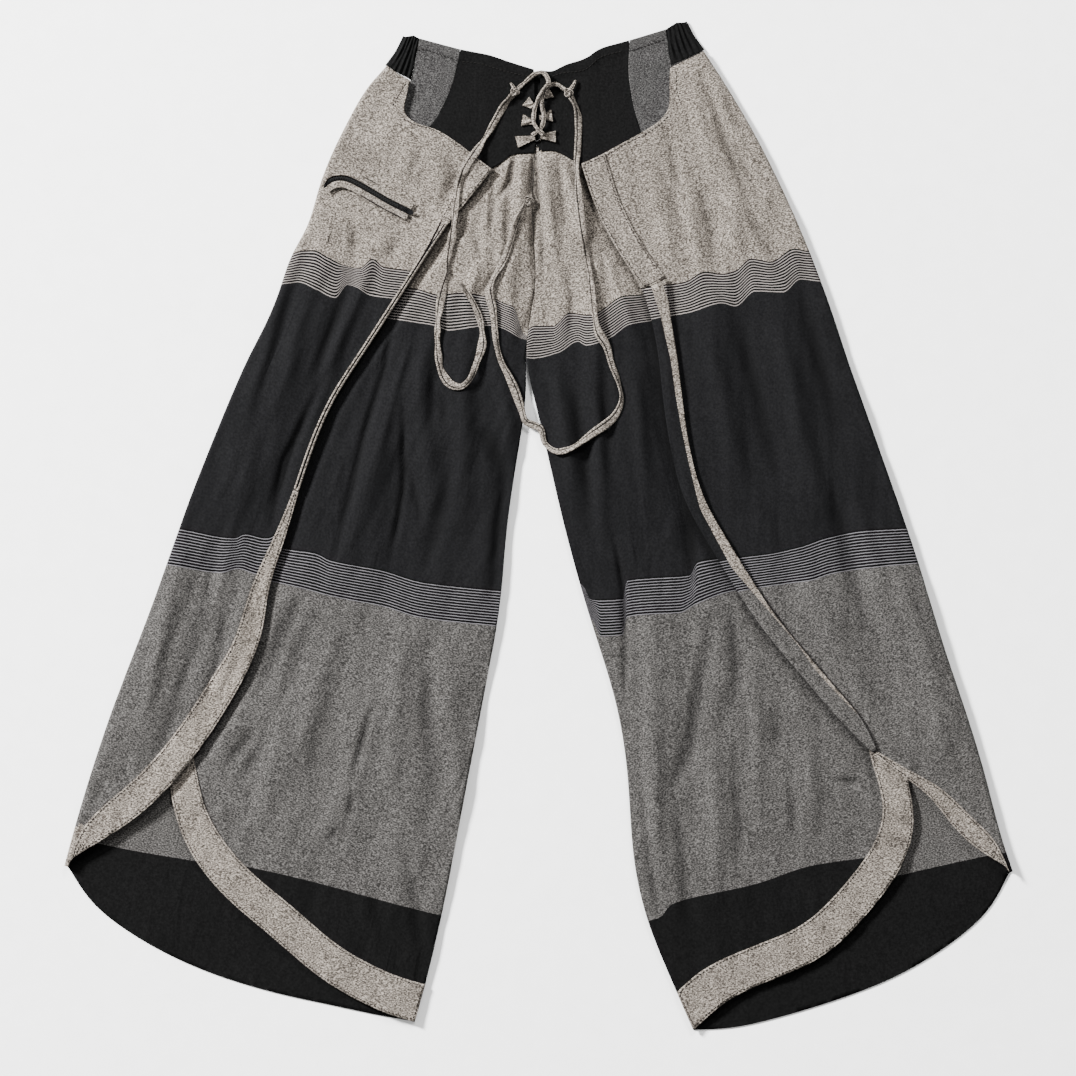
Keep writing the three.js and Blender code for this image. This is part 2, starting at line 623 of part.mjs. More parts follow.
// Lower skin of an inner front, flat where the flap covers it
function innerSkin(leg, lines) {
  const near = lines.inner;
  const far = lines.hidden;
  const top = joined(line(leg.innerTop), near(0), far(0));
  const low = joined(smooth(leg.frontHem), near(1), far(1));
  const surface = (across, down) => patch({ near, far, top, low }, across, down);
  return grid(INNER_ROWS + TRIM_COLUMNS, INNER_COLUMNS, (i, j) => {
    const across = j / INNER_COLUMNS;
    const start = hemStart(leg, surface, across);
    const down = i <= INNER_ROWS
      ? start * i / INNER_ROWS
      : start + (1 - start) * (i - INNER_ROWS) / TRIM_COLUMNS;
    const point = surface(across, down);
    const off = offLine(lines.edge, point.x, point.y);
    const covered = leg.away * (point.x - edgeX(lines.edge, point.y)) > 0;
    const bare = covered ? 0 : grown(off, INNER_FADE.edge);
    const seam = grown(i, INNER_FADE.seamRows);
    const hem = 1 - grown(down, INNER_FADE.hem);
    const z = INNER_Z + folds(`${leg.name}_inner`, point.x, point.y) * bare * seam * hem;
    return new THREE.Vector3(point.x, point.y, z);
  });
}

// Where the free edge stands at a height
function edgeX(edge, y) {
  const steps = 60;
  for (let k = 0; k < steps; k += 1) {
    const [a, b] = [edge(k / steps), edge((k + 1) / steps)];
    if (y <= a.y && y >= b.y) {
      return a.x + (b.x - a.x) * (a.y - y) / Math.max(a.y - b.y, 0.001);
    }
  }
  return y > 0 ? edge(0).x : edge(1).x;
}

function hemTrim(skin) {
  const lower = skin.slice(INNER_ROWS).map((row) => row.map((point) => (
    new THREE.Vector3(point.x, point.y, point.z + CLOTH + GAP))));
  return wall(lower, TRIM);
}

// Panel of the front yoke, with a turned hem of double cloth along the waist
function yokePanel(near, far, top, low, columns) {
  const hem = WAIST_HEM / YOKE_HEIGHT;
  const hemStep = 0.02;              // the double cloth comes down to single over this share
  const stations = [0, hem, hem + hemStep, 0.33, 0.5, 0.67, 0.83, 1];
  const inset = GAP / 2;
  const lines = {
    near: (share) => between(near, share).add(new THREE.Vector2(inset, 0)),
    far: (share) => between(far, share).sub(new THREE.Vector2(inset, 0)),
  };
  lines.top = joined(top, lines.near(0), lines.far(0));
  lines.low = joined(low, lines.near(1), lines.far(1));
  const lower = grid(stations.length - 1, columns, (i, j) => {
    const point = patch(lines, j / columns, stations[i]);
    return new THREE.Vector3(point.x, point.y, FLAP_Z);
  });
  return wall(lower, (i) => (stations[i] <= hem ? 2 * CLOTH : CLOTH));
}

// Ruched side of the yoke, round the side from the back to the front
function elasticSide(side) {
  const { rows, columns, backColumns, radius, gathers, high } = ELASTIC;
  const aside = 0.05;
  const outline = line(side.side);
  const away = (share) => leftOf(heading(outline, share, aside)).multiplyScalar(side.away);
  const near = (share) => outline(share).addScaledVector(away(share), -radius);
  const far = line(side.seam);
  const top = joined(line(side.top), near(0), far(0));
  const low = joined(line(side.low), near(1), far(1));
  const lines = { near, far, top, low };
  const back = grid(rows, backColumns, (i, j) => patch(lines, 1 - j / backColumns, i / rows));
  const front = grid(rows, columns, (i, j) => {
    const point = patch(lines, j / columns, i / rows);
    const rib = 0.5 - 0.5 * Math.cos(2 * Math.PI * gathers * j / columns);
    return new THREE.Vector3(point.x, point.y, FLAP_Z + high * rib);
  });
  return folded(back, front, (i) => away(i / rows), radius);
}

function backYoke() {
  const near = line(YOKE.backLeft);
  const far = line(YOKE.backRight);
  const lines = {
    near,
    far,
    top: joined(line(YOKE.backTop), near(0), far(0)),
    low: joined(line(YOKE.backLow), near(1), far(1)),
  };
  const lower = grid(BACK_YOKE_ROWS, BACK_YOKE_COLUMNS, (i, j) => {
    const point = patch(lines, j / BACK_YOKE_COLUMNS, i / BACK_YOKE_ROWS);
    return new THREE.Vector3(point.x, point.y, 0);
  });
  return wall(lower, CLOTH);
}

// Strip that follows the zip, between two distances to its left
function zipStrip(from, to, thick) {
  const path = smooth(ZIP.path);
  const lower = grid(ZIP.steps, 1, (i, j) => {
    const share = i / ZIP.steps;
    const off = j === 0 ? from : to;
    const point = path(share).addScaledVector(leftOf(heading(path, share)), off);
    const rise = SIDE_RISE * Math.exp(-ZIP.fall * share ** 2);
    return new THREE.Vector3(point.x, point.y, FLAP_Z + CLOTH + ZIP.clear + rise);
  });
  return wall(lower, thick);
}

// Bar of a flat outline, pushed out along one direction
function bar(points, depth, hole) {
  const outline = new THREE.Shape(points.map(([x, y]) => new THREE.Vector2(x, y)));
  if (hole) {
    outline.holes.push(new THREE.Path(hole.map(([x, y]) => new THREE.Vector2(x, y))));
  }
  return new THREE.ExtrudeGeometry(outline, { depth, bevelEnabled: false, steps: 1 });
}

const wasm = await Module();
wasm.setup();

function solid(geometry) {
  const bare = geometry.clone();
  bare.deleteAttribute('normal');
  bare.deleteAttribute('uv');
  const merged = mergeVertices(bare);
  return new wasm.Manifold(new wasm.Mesh({
    numProp: 3,
    vertProperties: new Float32Array(merged.attributes.position.array),
    triVerts: new Uint32Array(merged.index.array),
  }));
}

function fromSolid(body) {
  const mesh = body.getMesh();
  const geometry = new THREE.BufferGeometry();
  geometry.setAttribute('position', new THREE.Float32BufferAttribute(Array.from(mesh.vertProperties), 3));
  geometry.setIndex(Array.from(mesh.triVerts));
  geometry.computeVertexNormals();
  return geometry;
}

const SLIDER_Z = FLAP_Z + CLOTH + ZIP.clear + ZIP.tapeThick + GAP;
const HINGE_Z = PULL.bodyHeight + GAP + PULL.tabThick / 2;

// Slider: a wedge with rounded nose, and the bail that the pull hangs in
function slider() {
  const [long, wide] = [PULL.bodyLength / 2, PULL.bodyWidth / 2];
  const [nose, tail] = [wide * PULL.noseShare, wide * PULL.tailShare];
  const [shoulder, heel] = [-long * PULL.shoulder, long * PULL.heel];
  const body = bar([
    [-long, -nose], [shoulder, -wide], [heel, -wide], [long, -tail],
    [long, tail], [heel, wide], [shoulder, wide], [-long, nose],
  ], PULL.bodyHeight);
  const [out, room] = [PULL.bailLength / 2, PULL.bailLength / 2 - PULL.bailWall];
  const [cut, round] = [out - PULL.bailCorner, room - PULL.roomCorner];
  const floor = PULL.bodyHeight;
  const foot = floor - PULL.bailSunk;
  const top = floor + PULL.bailRoom;
  const bail = bar([
    [-out, foot], [out, foot], [out, top], [cut, top + PULL.bailWall],
    [-cut, top + PULL.bailWall], [-out, top],
  ], PULL.bailWidth, [
    [-room, floor], [-room, top - PULL.roomCorner], [-round, top], [round, top],
    [room, top - PULL.roomCorner], [room, floor],
  ]);
  bail.translate(0, 0, -PULL.bailWidth / 2);
  bail.rotateX(Math.PI / 2);
  return fromSolid(solid(body).add(solid(bail)));
}

// Pull tab, lying along +X from its hinge bar at the origin
function pullTab() {
  const half = PULL.barWidth / 2;
  const [wide, tip] = [PULL.tabWidth / 2, PULL.tabLength - half];
  const [neck, point] = [wide * PULL.neckShare, wide * PULL.tipShare];
  const full = tip - PULL.taper;
  const [window, end] = [PULL.windowWidth / 2, half + PULL.windowLength];
  const tab = bar([
    [-half, -neck], [full, -wide], [tip, -point], [tip, point], [full, wide], [-half, neck],
  ], PULL.tabThick, [[half, -window], [half, window], [end, window], [end, -window]]);
  tab.translate(0, 0, -PULL.tabThick / 2);
  return tab;
}

// Round or flat cord along a line of points
function cord(rows, wide, thick, steps) {
  const route = new THREE.CatmullRomCurve3(rows.map((row) => new THREE.Vector3(row.x, row.y, row.z)));
  route.curveType = 'centripetal';
  const outline = new THREE.Shape(Array.from({ length: CORD_SIDES }, (_, k) => {
    const angle = 2 * Math.PI * (k + 0.5) / CORD_SIDES;
    return new THREE.Vector2(thick / 2 * Math.cos(angle), wide / 2 * Math.sin(angle));
  }));
  return new THREE.ExtrudeGeometry(outline, { steps, extrudePath: route, bevelEnabled: false });
}

// Loop of folded cloth: broad where it is sewn, pulled narrow and up at its tip
function clothLoop(loop) {
  const base = new THREE.Vector2(loop.x, loop.y);
  const along = new THREE.Vector2(loop.tipX, loop.tipY).sub(base);
  const cross = new THREE.Vector2(-along.y, along.x).normalize();
  const lower = grid(LOOP.rows, LOOP.columns, (i, j) => {
    const share = i / LOOP.rows;
    const half = LOOP.narrow + (LOOP.broad - LOOP.narrow) * (1 - share) ** LOOP.taper;
    const point = base.clone().addScaledVector(along, share)
      .addScaledVector(cross, half * (2 * j / LOOP.columns - 1));
    return new THREE.Vector3(point.x, point.y, FLAP_Z + CLOTH + GAP + LOOP.rise * share);
  });
  return wall(lower, LOOP.thick);
}

function knot(row) {
  const lump = new THREE.IcosahedronGeometry(row.wide / 2, 1);
  lump.scale(KNOT.long, 1, KNOT.flat);
  return lump;
}

const pants = new THREE.Group();

function add(name, geometry, material) {
  const mesh = new THREE.Mesh(geometry, material);
  mesh.name = name;
  pants.add(mesh);
  return mesh;
}

for (const leg of [LEFT, RIGHT]) {
  const lines = legLines(leg);
  const skin = flapSkin(leg, lines);
  add(`${leg.name}_outer_panel`, outerPanel(leg, lines, skin), BLACK);
  for (const band of flapBands(leg, skin)) {
    add(band.name, band.geometry, LIGHT_GRAY);
  }
  const inner = innerSkin(leg, lines);
  add(`${leg.name}_inner_front`, wall(inner, CLOTH), BLACK);
  add(`${leg.name}_inner_front_trim`, hemTrim(inner), LIGHT_GRAY);
}

const straight = (near, far, end) => (share) => between(near, end).lerp(between(far, end), share);
add('left_yoke_gray', yokePanel(
  YOKE.leftSeam, YOKE.leftGray,
  straight(YOKE.leftSeam, YOKE.leftGray, 0), straight(YOKE.leftSeam, YOKE.leftGray, 1), 5), MID_GRAY);
add('left_yoke_centre', yokePanel(
  YOKE.leftGray, YOKE.leftOpening, line(YOKE.leftCentreTop), line(YOKE.leftCentreLow), 12), BLACK);
add('right_yoke_centre', yokePanel(
  YOKE.rightOpening, YOKE.rightGray, line(YOKE.rightCentreTop), line(YOKE.rightCentreLow), 12), BLACK);
add('right_yoke_gray', yokePanel(
  YOKE.rightGray, YOKE.rightSeam,
  straight(YOKE.rightGray, YOKE.rightSeam, 0), straight(YOKE.rightGray, YOKE.rightSeam, 1), 5), MID_GRAY);
add('left_elastic', elasticSide(ELASTIC.left), BLACK);
add('right_elastic', elasticSide(ELASTIC.right), BLACK);
add('back_yoke', backYoke(), BLACK);

const zipHalf = ZIP.tape / 2;
add('zip_tape', zipStrip(-zipHalf, zipHalf, ZIP.tapeThick), BLACK);
add('zip_welt_upper', zipStrip(zipHalf + GAP, zipHalf + GAP + ZIP.welt, ZIP.weltThick), LIGHT_GRAY);
add('zip_welt_lower', zipStrip(-zipHalf - GAP - ZIP.welt, -zipHalf - GAP, ZIP.weltThick), LIGHT_GRAY);
const turn = THREE.MathUtils.degToRad(PULL.turn);
const body = add('zip_slider', slider(), DARK_METAL);
body.position.set(PULL.x, PULL.y, SLIDER_Z);
body.rotation.z = turn;
const tab = add('zip_pull_tab', pullTab(), DARK_METAL);
tab.position.set(PULL.x, PULL.y, SLIDER_Z + HINGE_Z);
tab.rotation.z = turn;

for (const loop of LOOPS) {
  add(loop.name, clothLoop(loop), LIGHT_GRAY);
}
for (const [name, rows] of Object.entries(LACES)) {
  add(name, cord(rows, LACE_WIDTH, LACE_THICK, CORD_STEPS[name]), LIGHT_GRAY);
}
for (const row of KNOTS) {
  add(row.name, knot(row), LIGHT_GRAY).position.set(row.x, row.y, row.z);
}
for (const [name, rows] of Object.entries(TIES)) {
  add(name, cord(rows, TIE_WIDTH, TIE_THICK, CORD_STEPS[name]), LIGHT_GRAY);
}

export default pants;
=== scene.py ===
"""Palazzo pants with wrap-split legs, laid flat: woven cloth, trims, lacing, ties and zip.

Places that were read on the picture are given in its pixels and turned to metres by spots()."""

import math

import bmesh
import bpy
import numpy as np
from bpy.props import FloatProperty, FloatVectorProperty, PointerProperty
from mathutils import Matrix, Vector
from mathutils.bvhtree import BVHTree


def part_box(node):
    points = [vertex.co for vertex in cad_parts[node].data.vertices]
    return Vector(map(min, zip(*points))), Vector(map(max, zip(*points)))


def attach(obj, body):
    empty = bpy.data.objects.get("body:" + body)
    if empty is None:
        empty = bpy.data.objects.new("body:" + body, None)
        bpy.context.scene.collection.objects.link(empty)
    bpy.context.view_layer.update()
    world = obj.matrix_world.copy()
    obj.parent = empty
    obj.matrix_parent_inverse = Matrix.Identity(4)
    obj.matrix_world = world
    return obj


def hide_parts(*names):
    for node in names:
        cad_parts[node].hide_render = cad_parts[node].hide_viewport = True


bl_info = {
    "name": "Palazzo pants",
    "version": (1, 0, 0),
    "blender": (4, 5, 0),
    "location": "3D View > Sidebar > Pants",
    "description": "Dresses the packed pants with cloth, trims, ties and zip",
    "category": "Object",
}

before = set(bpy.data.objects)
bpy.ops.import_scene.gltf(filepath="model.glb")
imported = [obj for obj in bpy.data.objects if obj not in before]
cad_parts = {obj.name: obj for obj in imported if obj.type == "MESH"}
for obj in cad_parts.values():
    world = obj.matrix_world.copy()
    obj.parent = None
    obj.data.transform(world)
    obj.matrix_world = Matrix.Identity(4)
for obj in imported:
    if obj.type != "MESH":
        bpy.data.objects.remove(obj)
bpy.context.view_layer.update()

MM = 0.001
PIXEL = 1.1 * MM                      # one pixel of the picture, on the surface
MIDDLE = (538.5, 527.0)               # the origin, in the picture's pixels
PICTURE = 1076                        # the picture's side, in pixels
LEG_LEAN = math.radians(13)           # how far each leg's threads lean outwards
UPPER = 1.4 * MM                      # cloth above this height belongs to a leg's upper layer
LEVELS = 3                            # how often the cloth's faces are halved
SAME_FACE = math.radians(35)          # triangles of a solid within this angle join to one face
SHARP = math.radians(50)              # edges of a solid over this angle stay sharp
SOFT = math.radians(45)               # edges of cloth below this angle are shaded smooth
ROUND = math.radians(60)              # and edges of cords and threads below this one
FOLD_FULL_SHADE, DENT_FULL_SHADE = 2.6 * MM, 1.6 * MM    # depth at which the painted shade of a leg's fold and of a trim's dent is full
WEAVE = 1.4 * MM                      # from thread to thread, drawn about twice as coarse as it is, to show
CREASE_HEIGHT = 2.6 * MM              # height of the small creases that the material draws
TOOTH = (2.6 * MM, 1.1 * MM)          # length and thickness of a zip tooth
STITCH_INSET = 2.2 * MM               # from a trim's edge to its topstitching


def linear(code):
    """An sRGB hex colour as linear red, green and blue."""
    parts = [int(code[k:k + 2], 16) / 255 for k in (1, 3, 5)]
    return [p / 12.92 if p <= 0.04045 else ((p + 0.055) / 1.055) ** 2.4 for p in parts]


def length(name, description, default):
    return FloatProperty(name=name, description=description, default=default, unit="LENGTH")


class PantsSizes(bpy.types.PropertyGroup):
    fold_height: FloatProperty(
        name="Fold height", description="Height of the soft folds, as a share of the shown ones",
        default=1.8, min=0.0, max=3.0)
    loft: length("Loft", "How far the cloth stands off what it lies on, between its edges", 3.3 * MM)
    rumple: length("Rumple", "Height of the low uneven waves", 1.0 * MM)
    edge_lift: length("Edge lift", "How far a free edge stands up", 1.4 * MM)
    fleck: length("Fleck", "Size of the light and dark flecks of the yarn", 1.2 * MM)
    tie_width: length("Tie width", "Width of the flat ties", 9 * MM)
    tie_thickness: length("Tie thickness", "Thickness of the flat ties", 2.4 * MM)
    lace_width: length("Lace width", "Width of the lacing cord", 5 * MM)
    lace_thickness: length("Lace thickness", "Thickness of the lacing cord", 3 * MM)
    stitch: length("Stitch", "Length of one stitch", 3.0 * MM)
    stitch_pitch: length("Stitch pitch", "From one stitch to the next", 4.2 * MM)
    thread: length("Thread", "Thickness of the sewing thread", 0.9 * MM)
    tooth_pitch: length("Tooth pitch", "From one zip tooth to the next", 1.5 * MM)


def colour(name, description, code):
    return FloatVectorProperty(
        name=name, description=description, subtype="COLOR", size=3, min=0.0, max=1.0, default=linear(code))


class PantsColours(bpy.types.PropertyGroup):
    light_yarn: colour("Light yarn", "Light flecks of the light gray cloth", "#8f877e")
    light_shade: colour("Light cloth's dark yarn", "Dark flecks of the light gray cloth", "#26221e")
    mid_yarn: colour("Mid yarn", "Light flecks of the mid gray cloth", "#575553")
    mid_shade: colour("Mid cloth's dark yarn", "Dark flecks of the mid gray cloth", "#1b1a19")
    yoke_yarn: colour("Yoke yarn", "Light flecks of the gray yoke panels", "#484746")
    yoke_shade: colour("Yoke's dark yarn", "Dark flecks of the gray yoke panels", "#131212")
    black: colour("Black", "Black cloth", "#09090a")
    # Deep black is also the colour of the painted shade in creases, dents, seams and grooves
    deep_black: colour("Deep black", "Black cloth of the yoke and the hems", "#040404")
    line: colour("Upper lines", "Light lines of the upper woven band", "#6b6663")
    lower_line: colour("Lower lines", "Light lines of the lower woven band", "#5a585b")
    thread: colour("Thread", "Sewing thread", "#0d0c0b")
    metal: colour("Metal", "Slider and pull", "#19191a")


# ---- Places read on the picture ----

# Free edge of each wrap flap
FREE_EDGE = {
    "left": [
        (492, 170), (480, 186), (459, 207), (449, 222), (437, 247), (413, 278), (398, 302), (386, 324),
        (369, 346), (354, 368), (330, 407), (325, 426), (316, 445), (306, 472), (299, 491), (293, 508),
        (290, 523), (282, 550), (273, 565), (266, 601), (262, 625), (254, 654), (244, 679), (229, 705),
        (210, 734), (188, 764), (172, 784), (157, 799), (134, 820), (111, 838), (85, 850), (65, 861)],
    "right": [
        (581, 165), (583, 176), (591, 197), (602, 218), (612, 244), (626, 266), (640, 283), (650, 313),
        (659, 362), (664, 410), (673, 457), (683, 499), (712, 550), (740, 592), (759, 625), (780, 650),
        (807, 682), (828, 705), (843, 724), (863, 745), (879, 759), (912, 783), (943, 816), (978, 851),
        (1013, 875)],
}

# Lower line of the front yoke, over the tops of the inner fronts
YOKE_LOW = [
    (428, 131), (462, 153), (490, 171), (512, 155), (534, 153), (541, 152), (556, 151), (583, 167),
    (611, 156), (643, 139)]

# Borders of the woven zones: tops and feet of the two striped bands, then the black hem's upper line
BORDERS = {
    "left_outer": (
        [(250, 258), (290, 254.5), (303, 251), (314, 250.5), (326, 256.5), (343.5, 265), (359.6, 268.5),
         (373, 259), (383.7, 267), (403.8, 270), (430, 274)],
        [(250, 288), (290, 284), (298, 283), (317, 290.6), (335.5, 298.7), (347.6, 285.3), (357, 288),
         (370, 296), (394.4, 299.3), (430, 303)],
        [(140, 522), (182, 528), (236, 537), (245, 533), (267, 537), (287, 527), (305, 525)],
        [(130, 560), (175, 566), (221, 573), (238, 569), (260, 575), (300, 572)],
        [(60, 836), (100, 844), (141, 852), (189, 860), (260, 872), (420, 905), (500, 920)]),
    "left_inner": (
        [(380, 285), (417, 289), (440, 295), (459, 293), (490, 297), (506, 304), (514, 307), (524, 334),
         (540, 341)],
        [(380, 318), (396, 320), (415, 323), (434, 326), (449, 331), (472, 328), (491, 326), (503, 329),
         (518, 337), (540, 344)],
        [(255, 540), (288, 548), (316, 552), (330, 559), (354, 564), (381, 569), (422, 581), (504, 590),
         (525, 592)],
        [(250, 577), (300, 588), (330, 596), (354, 601), (381, 606), (422, 618), (504, 627), (525, 629)],
        [(180, 852), (241, 865), (295, 877), (420, 910), (480, 924)]),
    "right_outer": (
        [(630, 290), (657, 286), (685, 282), (705, 272), (722, 274), (735, 271), (751, 259), (770, 262),
         (794, 249), (807, 251), (840, 249)],
        [(640, 322), (668, 317), (690, 313), (722, 304), (735, 307), (755, 292), (783, 293), (800, 280),
         (820, 282), (850, 280)],
        [(690, 566), (740.6, 556.4), (769.7, 552.7), (801, 545.5), (825.5, 537), (862, 529.7), (904, 527.3),
         (930, 526)],
        [(700, 600), (757.6, 588), (794, 583), (811, 580.6), (830, 574.5), (867, 568.5), (918, 563.6),
         (940, 562)],
        [(600, 925), (700, 905), (860, 884), (896, 876), (976, 858), (1015, 850)]),
    "right_inner": (
        [(505, 340), (521, 336), (534, 326), (553, 326), (569, 313), (590, 315), (624, 296), (637, 295),
         (670, 288)],
        [(505, 360), (525, 358), (532, 359), (559, 353), (578, 342), (586, 346), (609, 339), (630, 325),
         (670, 319)],
        [(560, 570), (583, 585), (591, 599), (623.5, 597.5), (626, 579.5), (648.5, 577), (690, 574),
         (697, 561), (720, 557), (750, 552)],
        [(580, 608), (593, 621), (601, 636.5), (623.5, 635), (626, 617.5), (648.5, 614.5), (680, 613),
         (694.5, 605), (731, 591.5), (755, 588)],
        [(630, 924), (660, 917), (670, 905), (679, 901), (754, 884), (813, 865), (868, 857), (920, 848)]),
}
# Light lines in the upper and the lower striped band, and the dark share of each line's space
UPPER_LINES, LOWER_LINES = (12, 0.64), (13, 0.74)
HEM_REACH = 30 * MM                   # from the black hem's upper line to where its zone counts 1
TRIM_ROUND = -325 * MM                # below this the left flap's light band goes round the side

